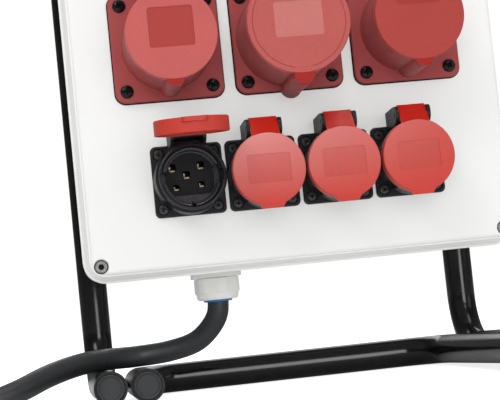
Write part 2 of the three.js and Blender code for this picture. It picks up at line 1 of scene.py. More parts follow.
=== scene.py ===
"""Portable power distribution box on a tubular stand, with a supply lead.

Pieces are modelled in panel millimetres: x right, y up, z out of the face. z = 0 is the face
of the cover and y = 0 the row of small sockets. place() carries them into the world, in
metres, where the face looks along -Y and +Z is up.
"""
import json
from math import cos, hypot, pi, radians, sin, sqrt, tau
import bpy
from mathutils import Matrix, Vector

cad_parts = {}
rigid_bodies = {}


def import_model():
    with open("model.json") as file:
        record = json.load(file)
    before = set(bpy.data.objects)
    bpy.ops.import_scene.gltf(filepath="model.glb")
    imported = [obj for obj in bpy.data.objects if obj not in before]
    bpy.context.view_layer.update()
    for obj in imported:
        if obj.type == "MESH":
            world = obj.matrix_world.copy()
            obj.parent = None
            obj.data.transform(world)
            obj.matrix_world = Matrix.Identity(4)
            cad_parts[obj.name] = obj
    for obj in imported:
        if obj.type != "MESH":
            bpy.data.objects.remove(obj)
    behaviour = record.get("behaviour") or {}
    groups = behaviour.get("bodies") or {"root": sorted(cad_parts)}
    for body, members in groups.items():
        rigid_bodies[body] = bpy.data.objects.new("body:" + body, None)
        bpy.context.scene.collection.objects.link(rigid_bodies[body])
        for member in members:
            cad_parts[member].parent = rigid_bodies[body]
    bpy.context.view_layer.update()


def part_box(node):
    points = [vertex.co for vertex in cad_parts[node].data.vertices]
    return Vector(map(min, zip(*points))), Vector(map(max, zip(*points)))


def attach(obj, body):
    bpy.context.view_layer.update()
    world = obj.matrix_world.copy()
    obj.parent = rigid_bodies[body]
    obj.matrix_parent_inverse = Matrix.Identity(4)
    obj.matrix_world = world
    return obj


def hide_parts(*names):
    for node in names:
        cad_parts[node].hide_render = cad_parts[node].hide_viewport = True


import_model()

from types import SimpleNamespace

import bmesh
import bpy
from mathutils import Matrix, Vector

# ------------------------------------------------------------------------------------------
# Dimensions shared by several pieces (panel millimetres)
# ------------------------------------------------------------------------------------------
BOX_W, BOX_BOTTOM, BOX_TOP, BOX_BACK = 311.0, -65.5, 326.5, -132.0
BOX_H = BOX_TOP - BOX_BOTTOM
BOX_MID_Y = (BOX_TOP + BOX_BOTTOM) / 2
BASE_INSET = 3  # the base walls stand this far inside the cover's outline
BASE_WALL_X = BOX_W / 2 - BASE_INSET
BASE_WALL_Y = BOX_BOTTOM + BASE_INSET
COVER_SCREWS = [(side * 143.5, y) for y in (BOX_BOTTOM + 11.5, BOX_TOP - 11.5) for side in (-1, 1)]

SMALL_PITCH = 52.1
SMALL_X = [k * SMALL_PITCH for k in (-1.5, -0.5, 0.5, 1.5)]
SMALL_SCREW = 19  # flange screws, from the socket's axis
SMALL_HINGE_Y, SMALL_HINGE_Z = 29.5, 28.8
SMALL_TOP = 36.8  # face of the closed small lid

LARGE_PITCH = 84.7
LARGE_Y = 94.3
LARGE_SCREW = 30

WINDOW_Y = 224.0
FLAP_HINGE_Y, FLAP_HINGE_Z = 51.5, 12.5  # from the window's centre

GLAND_X, GLAND_Z = -58.0, -70.0


def large_size(lid, top, **radii):
    """Sizes of a large socket; its lid hinge follows from lid radius and lid face height."""
    return SimpleNamespace(lid=lid, top=top, hinge_y=lid + 5.5, hinge_z=top - 5.2, **radii)


# radii, except top (lid face height), boss_y and pin_circle (pitch radius of the contacts)
SIDE_SIZE = large_size(lid=31.0, top=53.5, body=30.4, bore=27.2, rear=29.6, hole=30.2, boss=6.5,
                       boss_y=-29.2, insert=21.5, pin=3.2, pin_circle=13.5)
MIDDLE_SIZE = large_size(lid=35.0, top=61.8, body=34.4, bore=31.0, rear=31.4, hole=32.2, boss=7.0,
                         boss_y=-35.9, insert=24.5, pin=3.7, pin_circle=15.5)

# right half of the latch tab outline (x, y), from its root to its tip
SHORT_TAB = [(4, -25), (6.6, -29.4), (6.1, -31.2), (4.0, -34.2), (2.4, -35.3), (0.8, -35.6)]
LONG_TAB = [(4, -28), (7.0, -33), (6.9, -37.2), (6.0, -39.8), (4.2, -41.4), (1.8, -42)]

# side, x, size, tab, ring groove in the lid, label field (width, height, x, y, depth)
LARGE_SOCKETS = (
    ("left", -LARGE_PITCH, SIDE_SIZE, SHORT_TAB, False, (30.4, 27, 0.1, 4.4, 0.45)),
    ("middle", 0.0, MIDDLE_SIZE, LONG_TAB, True, (33, 24, 0.1, 1.8, 0.3)),
    ("right", LARGE_PITCH, SIDE_SIZE, SHORT_TAB, False, (30, 14, 0, 14, 0.4)),
)

cover_low, cover_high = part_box("enclosure_cover")
PANEL_TO_WORLD = Matrix(((0.001, 0, 0, (cover_low[0] + cover_high[0]) / 2),
                         (0, 0, -0.001, cover_low[1]),
                         (0, 0.001, 0, cover_low[2] - BOX_BOTTOM / 1000),
                         (0, 0, 0, 1)))

PIECES = bpy.data.collections.new("pieces")
bpy.context.scene.collection.children.link(PIECES)


# ------------------------------------------------------------------------------------------
# Outlines: lists of 2D points
# ------------------------------------------------------------------------------------------
def circle(radius, count=48, x=0.0, y=0.0):
    return [(x + radius * cos(tau * i / count), y + radius * sin(tau * i / count))
            for i in range(count)]


def rect(x0, y0, x1, y1):
    return [(x0, y0), (x1, y0), (x1, y1), (x0, y1)]


def rounded_rect(width, height, radius, steps=6, x=0.0, y=0.0):
    across, up = width / 2 - radius, height / 2 - radius
    points = []
    for cx, cy, start in ((across, up, 0), (-across, up, 90),
                          (-across, -up, 180), (across, -up, 270)):
        for i in range(steps + 1):
            angle = radians(start + 90 * i / steps)
            points.append((x + cx + radius * cos(angle), y + cy + radius * sin(angle)))
    return points


def inset_rect(width, height, corner, steps=8, y=0.0, loss=1.0):
    """Gives outline(inset); the corner radius falls by `loss` per millimetre of inset."""
    return lambda inset: rounded_rect(width - 2 * inset, height - 2 * inset,
                                      corner - loss * inset, steps, 0, y)


box_outline = inset_rect(BOX_W, BOX_H, corner=16, steps=12, y=BOX_MID_Y)


def corners(reach):
    return [(x, y) for x in (-reach, reach) for y in (-reach, reach)]


# ------------------------------------------------------------------------------------------
# Solids
# ------------------------------------------------------------------------------------------
def mesh_object(verts, faces):
    mesh = bpy.data.meshes.new("tmp")
    mesh.from_pydata([Vector(v) for v in verts], [], faces)
    bm = bmesh.new()
    bm.from_mesh(mesh)
    bmesh.ops.remove_doubles(bm, verts=bm.verts, dist=1e-4)
    bmesh.ops.recalc_face_normals(bm, faces=bm.faces)
    bm.to_mesh(mesh)
    bm.free()
    made = bpy.data.objects.new("tmp", mesh)
    PIECES.objects.link(made)
    return made


def loft(rings, closed=False):
    """Skins rings of equal counts. Open lofts are capped; closed ones join last to first."""
    count = len(rings[0])
    faces = []
    for level in range(len(rings) if closed else len(rings) - 1):
        low, high = level * count, ((level + 1) % len(rings)) * count
        for i in range(count):
            j = (i + 1) % count
            faces.append((low + i, low + j, high + j, high + i))
    if not closed:
        faces.append(tuple(range(count - 1, -1, -1)))
        faces.append(tuple(range((len(rings) - 1) * count, len(rings) * count)))
    return mesh_object([v for ring in rings for v in ring], faces)


def stack(outline, levels, closed=False):
    """Lofts outline(size) through levels of (size, z)."""
    return loft([[(x, y, z) for x, y in outline(size)] for size, z in levels], closed)


def prism(points, z0, z1):
    return loft([[(x, y, z) for x, y in points] for z in (z0, z1)])


def extrude_x(yz, x0, x1):
    return loft([[(x, y, z) for y, z in yz] for x in (x0, x1)])


def extrude_y(xz, y0, y1):
    return loft([[(x, y, z) for x, z in xz] for y in (y0, y1)])


def bar_x(radius, x0, x1, y, z, count=32):
    return extrude_x(circle(radius, count, y, z), x0, x1)


def soft_slab(outline, z0, z1, edge):
    """Slab whose front edge is rounded by `edge`."""
    levels = [(0, z0)]
    for i in range(4):
        angle = pi / 2 * i / 3
        levels.append((edge - edge * cos(angle), z1 - edge + edge * sin(angle)))
    return stack(outline, levels)


def revolve_z(profile, count=64, x=0.0, y=0.0, closed=False):
    """Turns a profile of (radius, z). Open profiles start and end on the axis."""
    return stack(lambda radius: circle(max(radius, 1e-5), count, x, y), profile, closed)


def revolve_y(profile, count=64, closed=False):
    """Turns a profile of (radius, y) about the y axis."""
    return loft([[(x, y, z) for x, z in circle(max(radius, 1e-5), count)]
                 for radius, y in profile], closed)


def sweep(points, radii, count):
    """Round bar along points, with frames that turn as little as possible."""
    points = [Vector(p) for p in points]
    last = len(points) - 1
    along = [(points[min(i + 1, last)] - points[max(i - 1, 0)]).normalized()
             for i in range(last + 1)]
    reference = Vector((0, 0, 1)) if abs(along[0].z) < 0.9 else Vector((1, 0, 0))
    across = along[0].cross(reference).normalized()
    rings = []
    for i, point in enumerate(points):
        if i:
            axis = along[i - 1].cross(along[i])
            if axis.length > 1e-9:
                turn = along[i - 1].angle(along[i])
                across = Matrix.Rotation(turn, 3, axis.normalized()) @ across
        across = (across - along[i] * across.dot(along[i])).normalized()
        third = along[i].cross(across)
        rings.append([point + (across * x + third * y) * radii[i] for x, y in circle(1, count)])
    return loft(rings)


def round_bar(points, radius, count):
    return sweep(points, [radius] * len(points), count)


def bent(path, radius, steps=18):
    """Path points with every inner corner replaced by an arc."""
    path = [Vector(p) for p in path]
    points = [path[0]]
    for before, corner, after in zip(path, path[1:], path[2:]):
        arriving = (corner - before).normalized()
        leaving = (after - corner).normalized()
        turn = arriving.angle(leaving)
        start = corner - arriving * (radius * math_tan(turn / 2))
        inward = (leaving - arriving * arriving.dot(leaving)).normalized()
        for k in range(steps + 1):
            angle = turn * k / steps
            points.append(start + arriving * radius * sin(angle)
                          + inward * radius * (1 - cos(angle)))
    points.append(path[-1])
    return points


def math_tan(angle):
    return sin(angle) / cos(angle)


# ------------------------------------------------------------------------------------------
# Mesh operations
# ------------------------------------------------------------------------------------------
def drop(*pieces):
    for piece in pieces:
        mesh = piece.data
        bpy.data.objects.remove(piece)
        bpy.data.meshes.remove(mesh)


def evaluate(piece):
    """Applies the piece's modifiers."""
    bpy.context.view_layer.update()
    graph = bpy.context.evaluated_depsgraph_get()
    mesh = bpy.data.meshes.new_from_object(piece.evaluated_get(graph))
    piece.modifiers.clear()
    old = piece.data
    piece.data = mesh
    bpy.data.meshes.remove(old)
    return piece


def boolean(piece, others, operation):
    for other in others:
        modifier = piece.modifiers.new("b", "BOOLEAN")
        modifier.operation = operation
        modifier.solver = "EXACT"
        modifier.object = other
    evaluate(piece)
    drop(*others)
    return piece


def cut(piece, *others):
    return boolean(piece, others, "DIFFERENCE")


def join(piece, *others):
    return boolean(piece, others, "UNION")


def merge(piece, other):
    """Puts two separate shells into one object."""
    bm = bmesh.new()
    bm.from_mesh(piece.data)
    bm.from_mesh(other.data)
    bm.to_mesh(piece.data)
    bm.free()
    drop(other)
    return piece


def bevel(piece, width, segments=2, angle=38, material_slot=-1):
    modifier = piece.modifiers.new("bevel", "BEVEL")
    modifier.width = width
    modifier.segments = segments
    modifier.limit_method = "ANGLE"
    modifier.angle_limit = radians(angle)
    modifier.use_clamp_overlap = True
    modifier.material = material_slot
    modifier.miter_outer = "MITER_ARC"
    return evaluate(piece)


def moved(piece, matrix):
    piece.data.transform(matrix)
    return piece


def copy_of(piece):
    copy = bpy.data.objects.new("tmp", piece.data.copy())
    PIECES.objects.link(copy)
    return copy


def place(piece, name, materials, body="housing", at=(0, 0, 0), node=None, smooth=40,
          weighted=True):
    """Carries a finished piece into the world, names it, paints it and rides it on its body."""
    mesh = piece.data
    mesh.transform(PANEL_TO_WORLD @ Matrix.Translation(Vector(at)))
    piece.name = name
    mesh.name = name
    if not isinstance(materials, list):
        materials = [materials]
    indices = [face.material_index for face in mesh.polygons]
    mesh.materials.clear()
    for material_used in materials:
        mesh.materials.append(material_used)
    for face, index in zip(mesh.polygons, indices):
        face.material_index = index
    mesh.shade_smooth()
    mesh.set_sharp_from_angle(angle=radians(smooth))
    if weighted:
        modifier = piece.modifiers.new("weighted", "WEIGHTED_NORMAL")
        modifier.keep_sharp = True
        modifier.weight = 60
    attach(piece, body)
    if node:
        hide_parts(node)
    return piece


# ------------------------------------------------------------------------------------------
# Shader helpers
# ------------------------------------------------------------------------------------------
class Graph:
    """Adds nodes to a tree. Inputs take either a value or another node's output."""

    def __init__(self, tree):
        self.tree = tree

    def feed(self, socket, value):
        if isinstance(value, bpy.types.NodeSocket):
            self.tree.links.new(value, socket)
        else:
            socket.default_value = value

    def node(self, kind, inputs=None, **settings):
        made = self.tree.nodes.new("ShaderNode" + kind)
        for key, value in settings.items():
            setattr(made, key, value)
        for key, value in (inputs or {}).items():
            self.feed(made.inputs[key], value)
        return made

    def ramp(self, value, low, high, out_low=0.0, out_high=1.0):
        return self.node("MapRange", {"Value": value, "From Min": low, "From Max": high,
                                      "To Min": out_low, "To Max": out_high}).outputs["Result"]

    def mix(self, factor, first, second, mode="MIX"):
        """Mixes colours; 6, 7 and output 2 are the colour sockets of the Mix node."""
        return self.node("Mix", {"Factor": factor, 6: first, 7: second},
                         data_type="RGBA", blend_type=mode).outputs[2]

    def multiply(self, first, second):
        return self.node("Math", {0: first, 1: second}, operation="MULTIPLY").outputs[0]


def fresh_graph(owner):
    owner.use_nodes = True
    owner.node_tree.nodes.clear()
    return Graph(owner.node_tree)


def linear(colour):
    """sRGB of 0 to 255 as linear RGBA."""
    return tuple(v / 255 / 12.92 if v / 255 <= 0.04045 else ((v / 255 + 0.055) / 1.055) ** 2.4
                 for v in colour) + (1.0,)


def material(name, colour, rough, metal=0.0, spec=0.5, var=0.06, var_scale=60, grain=0.0,
             grain_scale=1600, bump=0.0, bump_scale=1600, rough_var=0.06, painted_sheen=None,
             bounce=None, painted_glow=0.0):
    """Principled material with noise layers.

    var is the broad change of tone, grain the fine one, rough_var the spread of roughness and
    bump the height of the relief in mm. painted_sheen is a paler second colour, painted sheen,
    that comes in over height (z) and drops to `far` over width (x), in metres. bounce is the
    colour seen by diffuse rays. painted_glow is emission seen by the camera only, painted light
    that brightens the surface.
    """
    made = bpy.data.materials.new(name)
    graph = fresh_graph(made)
    output = graph.node("OutputMaterial")
    shader = graph.node("BsdfPrincipled")
    graph.feed(output.inputs["Surface"], shader.outputs["BSDF"])
    coords = graph.node("TexCoord").outputs["Object"]

    def noise(scale, detail, roughness=0.5):
        return graph.node("TexNoise", {"Scale": scale, "Detail": detail, "Roughness": roughness,
                                       "Vector": coords}).outputs["Fac"]

    base = linear(colour)[:3]
    darker = tuple(c * (1 - var) for c in base) + (1.0,)
    lighter = tuple(c * (1 + var) for c in base) + (1.0,)
    tone = graph.mix(graph.ramp(noise(var_scale, 3), 0.3, 0.7), darker, lighter)
    if grain:
        speckle = graph.ramp(noise(grain_scale, 2, 0.6), 0.3, 0.7, 1 - grain, 1 + grain)
        grey = graph.node("CombineColor", {"Red": speckle, "Green": speckle, "Blue": speckle})
        tone = graph.mix(1.0, tone, grey.outputs["Color"], "MULTIPLY")
    # painted sheen: a paler colour brought in towards the top and the left, standing in for light
    # on the lids
    if painted_sheen:
        axes = graph.node("SeparateXYZ", {"Vector": coords}).outputs
        sheen_amount = graph.multiply(graph.ramp(axes["Z"], *painted_sheen["z"]),
                                graph.ramp(axes["X"], *painted_sheen["x"], 1.0, painted_sheen["far"]))
        tone = graph.mix(sheen_amount, tone, linear(painted_sheen["colour"]))
    if bounce:
        diffuse_ray = graph.node("LightPath").outputs["Is Diffuse Ray"]
        tone = graph.mix(diffuse_ray, tone, linear(bounce))
    # painted glow: emission in the surface's own colour, seen by the camera only, painted light
    # that brightens it
    if painted_glow:
        camera_ray = graph.node("LightPath").outputs["Is Camera Ray"]
        graph.feed(shader.inputs["Emission Strength"], graph.multiply(camera_ray, painted_glow))
        graph.feed(shader.inputs["Emission Color"], tone)
    roughness = graph.ramp(noise(var_scale * 3, 4), 0.3, 0.7, rough - rough_var,
                           rough + rough_var)
    for key, value in (("Base Color", tone), ("Metallic", metal), ("Roughness", roughness),
                       ("Specular IOR Level", spec)):
        graph.feed(shader.inputs[key], value)
    if bump:
        relief = graph.node("Bump", {"Strength": 1.0, "Distance": bump / 1000,
                                     "Height": noise(bump_scale, 3, 0.6)})
        graph.feed(shader.inputs["Normal"], relief.outputs["Normal"])
    return made


def glass(name, tint):
    """Glossy shell over a tinted transparent one, denser at grazing angles."""
    made = material(name, tint, rough=0.08, var=0.02, rough_var=0.02)
    graph = Graph(made.node_tree)
    nodes = made.node_tree.nodes
    clear = graph.node("BsdfTransparent", {"Color": (0.84, 0.87, 0.90, 1)})
    facing = graph.node("LayerWeight", {"Blend": 0.35}).outputs["Facing"]
    density = graph.ramp(facing, 0.0, 1.0, out_low=0.143, out_high=0.6)
    blend = graph.node("MixShader", {"Fac": density, 1: clear.outputs["BSDF"],
                                     2: nodes["Principled BSDF"].outputs["BSDF"]})
    graph.feed(nodes["Material Output"].inputs["Surface"], blend.outputs["Shader"])
    return made


# ------------------------------------------------------------------------------------------
# Materials
# ------------------------------------------------------------------------------------------
WARM = (176, 150, 146)  # calmer colour that the red pieces throw on their neighbours

# the cover carries a strong painted glow, painted light that brightens it and flattens its shade
COVER_GREY = material("enclosure_grey", (214, 214, 212), rough=0.45, spec=0.3, painted_glow=0.46,
                      var=0.008, var_scale=25, grain=0.010, grain_scale=1500, bump=0.03,
                      bump_scale=1400)
# the base carries a weak painted glow
BASE_GREY = material("enclosure_grey_base", (232, 231, 228), rough=0.45, spec=0.4, painted_glow=0.12,
                     var=0.012, var_scale=25, grain=0.015, grain_scale=1500, bump=0.04,
                     bump_scale=1300)

SMALL_LID = dict(rough=0.42, var_scale=50, grain=0.07, grain_scale=900, bump=0.05,
                 bump_scale=1100, bounce=WARM)
# the small lid faces carry painted sheen, paler towards their top and towards the left of the row
LID_RED = material("lid_red", (209, 60, 47), var=0.025, **SMALL_LID,
                   painted_sheen=dict(colour=(232, 148, 144), z=(-0.004, 0.050), x=(-0.03, 0.10),
                             far=0.2))
OPEN_RED = material("lid_red_open", (207, 60, 46), var=0.03, **SMALL_LID)
# the large lids are one red; their faces are painted paler and pinker as painted sheen, most on
# the left and middle lid, least on the right
LARGE_LID_RED_WITH_SHEEN = {
    side: material(f"lid_red_{side}", colour, rough=0.42, var=0.03, var_scale=45, grain=0.06,
                   grain_scale=900, bump=0.04, bump_scale=1100, bounce=WARM)
    for side, colour in (("left", (203, 92, 88)), ("middle", (194, 88, 82)),
                         ("right", (180, 62, 55)))}
EDGE_RED = material("lid_red_edge", (222, 40, 30), rough=0.30, spec=0.55, var=0.03, grain=0.02,
                    bounce=WARM)
# the small lids' label fields carry the same painted sheen
LABEL_RED = material("lid_red_recess", (203, 55, 42), rough=0.36, var=0.05, var_scale=220,
                     grain=0.04, grain_scale=700, bump=0.02, bounce=WARM,
                     painted_sheen=dict(colour=(222, 128, 124), z=(-0.004, 0.050), x=(-0.03, 0.11),
                               far=0.35))
# the middle field is painted pale pink as painted sheen on a shiny field; the left and right
# fields keep a deeper red
LARGE_LABEL_RED = {
    side: material(f"label_recess_{side}", colour, rough=rough, rough_var=0.008, var=0.015,
                   var_scale=120, grain=0.03, grain_scale=700, bump=0.01, bounce=WARM)
    for side, colour, rough in (("left", (180, 60, 54), 0.3), ("middle", (206, 116, 110), 0.36),
                                ("right", (172, 50, 44), 0.34))}
TAB_RED = material("lid_red_tab", (166, 26, 20), rough=0.36, spec=0.45, var=0.03, grain=0.02,
                   bounce=WARM)
NECK_RED = material("lid_red_neck", (205, 36, 22), rough=0.34, spec=0.45, var=0.03, grain=0.02,
                    bounce=WARM)
HOUSING_RED = material("housing_red", (176, 74, 74), rough=0.5, spec=0.4, var=0.04,
                       var_scale=45, grain=0.05, grain_scale=1000, bump=0.05, bump_scale=1100,
                       bounce=WARM)

BLACK = material("black_plastic", (33, 33, 37), rough=0.34, spec=0.45, var_scale=90, grain=0.08,
                 grain_scale=1200, bump=0.05, bump_scale=1300)
# lighter grey copy of the black plastic, painted light on the mouth's rings and raised segment
RING_BLACK_PAINTED_LIGHT = material("black_plastic_ring_painted_light", (66, 66, 70), rough=0.3, spec=0.6, var=0.05,
                      grain=0.05, grain_scale=900, bump=0.03)
# black of the mouth floor, also put on the small lids' neck backs as painted shade
INNER_BLACK_AND_NECK_SHADE = material("black_plastic_inner", (30, 30, 32), rough=0.45, spec=0.35, var=0.08,
                       grain=0.06, grain_scale=900, bump=0.04)
# gasket rubber, also put in the screws' cross recesses as painted shade
RUBBER_AND_RECESS_SHADE = material("gasket_rubber", (20, 20, 21), rough=0.75, spec=0.25, var=0.05, grain=0.08,
                  grain_scale=900, bump=0.05)

SCREW_BLACK = material("black_screw", (10, 10, 11), rough=0.3, spec=0.4, var=0.05,
                       rough_var=0.04)
# black screws painted mid grey and half metallic as a painted highlight ring
FLANGE_SCREW_PAINTED_HIGHLIGHT = material("flange_screw_painted_highlight", (74, 74, 76), rough=0.3, metal=0.5, var_scale=500)
CAP_STEEL = material("cap_screw_steel", (184, 184, 182), rough=0.3, metal=0.55, var_scale=500,
                     rough_var=0.08)
ZINC = material("zinc_steel", (205, 205, 203), rough=0.32, metal=0.85, var=0.05, var_scale=400,
                rough_var=0.12, bump=0.01, bump_scale=3000)
SHADE = material("recess_shade", (30, 30, 31), rough=0.6, spec=0.3, grain=0.05)
BRASS = material("contact_brass", (236, 220, 184), rough=0.3, metal=0.75, var=0.05,
                 var_scale=500, rough_var=0.1)

LACQUER = material("black_lacquer", (9, 9, 10), rough=0.19, var=0.04, var_scale=12,
                   rough_var=0.02)
WELD = material("lacquered_weld", (20, 20, 22), rough=0.3, var=0.08, var_scale=200,
                rough_var=0.1, bump=0.08, bump_scale=350)
PLUG_BLACK = material("plug_black", (62, 63, 66), rough=0.5, spec=0.4, var=0.08, grain=0.08,
                      grain_scale=900, bump=0.05, bump_scale=900)
CABLE = material("cable_sheath", (52, 53, 55), rough=0.42, spec=0.45, var=0.08, var_scale=70,
                 grain=0.12, grain_scale=1100, bump=0.10, bump_scale=900, rough_var=0.1)

# the gland carries a painted glow that brightens it
GLAND_GREY = material("gland_grey", (232, 233, 229), rough=0.4, spec=0.45, var=0.01, grain=0.01,
                      bump=0.02, painted_glow=0.2)
BLUE = material("seal_blue", (58, 140, 222), rough=0.4, spec=0.45, var=0.04, grain=0.03,
                bump=0.02)
PALE_GREY = material("window_frame_grey", (222, 224, 222), rough=0.42, spec=0.4, var=0.02,
                     grain=0.015, bump=0.03)
DEVICE_GREY = material("device_grey", (232, 232, 226), rough=0.4, spec=0.4, var=0.015,
                       grain=0.012, bump=0.02)
DEVICE_DARK = material("device_dark", (58, 62, 68), rough=0.4, spec=0.4, var=0.03, grain=0.02)
SMOKED_GLASS = glass("smoked_window", tint=(150, 158, 164))


# ------------------------------------------------------------------------------------------
# Enclosure
# ------------------------------------------------------------------------------------------
# (inset, z) from the cover's rim forward to its rounded front edge
COVER_LEVELS = [
    (0.5, -22.5), (0.12, -22.3), (0.0, -21.9), (0.0, -19.3), (0.15, -18.9), (0.5, -18.7),
    (1.25, -18.65), (1.35, -18.3), (4.15, -3.75), (4.3, -3.35), (4.55, -3.15), (5.05, -3.1),
    (5.3, -3.0)]
COVER_EDGE = 3.0


def build_cover():
    levels = list(COVER_LEVELS)
    for i in range(1, 7):
        angle = pi / 2 * i / 6
        levels.append((8.3 - COVER_EDGE * cos(angle), -COVER_EDGE + COVER_EDGE * sin(angle)))
    shell = stack(box_outline, levels)
    hollow = prism(rounded_rect(BOX_W - 2 * 9.4, BOX_H - 2 * 9.4, 7, 12, 0, BOX_MID_Y), -24, -3.2)
    posts = [prism(circle(8.6, 32, x, y), -26, 0) for x, y in COVER_SCREWS]
    shell = cut(shell, cut(hollow, *posts))
    tools = [prism(circle(2.6, 16, x, y), -24, 1) for x, y in COVER_SCREWS]
    for x, y in COVER_SCREWS:
        recess = [(0, -6.3), (5.0, -6.3), (5.1, -1.0), (5.9, 0.3), (0, 0.3)]
        tools.append(revolve_z(recess, 40, x, y))
    for x in SMALL_X:
        tools.append(prism(circle(22.1, 48, x, 0), -5, 1))
    for _, x, size, *_ in LARGE_SOCKETS:
        tools.append(prism(circle(size.hole, 48, x, LARGE_Y), -5, 1))
    tools.append(prism(rounded_rect(218.4, 46, 1.5, 3, 0, WINDOW_Y), -5, 1))
    return cut(shell, *tools)


def build_base():
    front = -24.4
    levels = [(6.2, -132.0), (5.2, -131.8), (4.3, -131.3), (3.6, -130.5), (3.2, -129.5),
              (3.0, -128.2), (3.0, front - 0.3), (3.2, front)]
    shell = cut(stack(box_outline, levels), prism(box_outline(7), -128, front + 2))
    bosses = [cut(prism(circle(6.6, 32, x, y), -130, front - 0.1),
                  prism(circle(2.4, 16, x, y), -60, front + 1)) for x, y in COVER_SCREWS]
    shell = join(shell, *bosses)
    entry = moved(revolve_y(rect(0, -20, 16.4, 20), 48),
                  Matrix.Translation((GLAND_X, BOX_BOTTOM + 5, GLAND_Z)))
    shell = cut(shell, entry)
    # shallow groove round each blanked knock-out in the lower and upper walls
    grooves = []
    for x, y in ((40, BASE_WALL_Y), (95, BASE_WALL_Y), (0, BOX_TOP - BASE_INSET)):
        ring = revolve_y(rect(16.0, -0.7, 16.9, 0.7), 48, closed=True)
        grooves.append(moved(ring, Matrix.Translation((x, y, GLAND_Z))))
    shell = cut(shell, *grooves)
    # shallow sunk field in each side wall and in the rear wall
    fields = [extrude_x(rounded_rect(330, 78, 6, 6, BOX_MID_Y, -76),
                        side * (BASE_WALL_X - 0.7), side * (BASE_WALL_X + 1))
              for side in (-1, 1)]
    fields.append(prism(rounded_rect(262, 240, 8, 6, 0, 125), BOX_BACK - 1, BOX_BACK + 0.7))
    return cut(shell, *fields)


def build_cover_gasket():
    band = stack(box_outline, [(3.6, -24.0), (3.4, -23.8), (3.4, -23.0), (3.6, -22.8)])
    return cut(band, prism(box_outline(6.6), -26, -20))


def build_cover_screw():
    head = revolve_z([(0, -6.0), (4.0, -6.0), (4.2, -5.8), (4.2, -2.1), (3.6, -1.5), (0, -1.5)],
                     40)
    head = cut(head, prism(circle(2.3, 6), -4.4, 0))
    shank = revolve_z([(0, -45.5), (1.4, -45.5), (2.0, -44.5), (2.0, -5.9), (0, -5.9)], 20)
    return bevel(join(head, shank), 0.18, angle=40)


place(build_cover(), "cover_shell", COVER_GREY, node="enclosure_cover",
      smooth=28)
place(build_base(), "base_shell", BASE_GREY, node="enclosure_base", smooth=28)
place(build_cover_gasket(), "cover_seal", RUBBER_AND_RECESS_SHADE)

cover_screw = build_cover_screw()
for i, (x, y) in enumerate(COVER_SCREWS, 1):
    at = (x, y, 0)
    place(copy_of(cover_screw), f"cap_screw_{i}", CAP_STEEL, at=at,
          node=f"cover_screw_{i}")
    # dark ring round the head and dark floor in its hexagon
    place(revolve_z(rect(4.3, -6.25, 4.95, -5.4), 40, closed=True), f"cap_screw_shade_{i}",
          SHADE, at=at)
    place(prism(circle(2.2, 6), -4.35, -4.2), f"cap_screw_socket_{i}", SHADE,
          at=at)
drop(cover_screw)


# ------------------------------------------------------------------------------------------
# Cross-head screws
# ------------------------------------------------------------------------------------------
def build_cross_screw(radius, height, arm, arm_width):
    """Domed head with a tapering cross recess; the recess faces take the second material, dark and
    matte as painted shade.
    """
    profile = [(0, 0), (radius, 0), (radius, 0.5)]
    for i in range(1, 8):
        angle = pi / 2 * i / 7
        profile.append((radius * cos(angle) if i < 7 else 0, 0.5 + (height - 0.5) * sin(angle)))
    head = revolve_z(profile, 40)

    def arm_ring(half_length, half_width, angle, z):
        c, s = cos(angle), sin(angle)
        return [(x * c - y * s, x * s + y * c, z)
                for x, y in rect(-half_length, -half_width, half_length, half_width)]

    arms = []
    for angle in (0.35, pi / 2 + 0.35):
        arms.append(loft([
            arm_ring(arm * 0.35, arm_width / 3, angle, max(0.35, height - 1.9)),
            arm_ring(arm, arm_width / 2, angle, height + 0.3)]))
    head = bevel(cut(head, *arms), 0.1)
    # recess faces get the dark matte second material as painted shade
    for face in head.data.polygons:
        centre = face.center
        if hypot(centre.x, centre.y) < arm + 0.35 and (
                face.normal.z < 0.8 or centre.z < height - 0.7):
            face.material_index = 1
    return head


pan_screw = build_cross_screw(radius=4.6, height=2.4, arm=2.9, arm_width=1.05)
flat_screw = build_cross_screw(radius=3.5, height=1.2, arm=2.6, arm_width=1.0)


# ------------------------------------------------------------------------------------------
# Large sockets
# ------------------------------------------------------------------------------------------
def five_pins(pitch_radius, first, other):
    """(radius, x, y) of five pins on a circle, the first one at the bottom."""
    angles = [-pi / 2 + tau * i / 5 for i in range(5)]
    return [(other if i else first, pitch_radius * cos(angle), pitch_radius * sin(angle))
            for i, angle in enumerate(angles)]


def large_pins(size):
    return five_pins(size.pin_circle, size.pin + 0.7, size.pin)


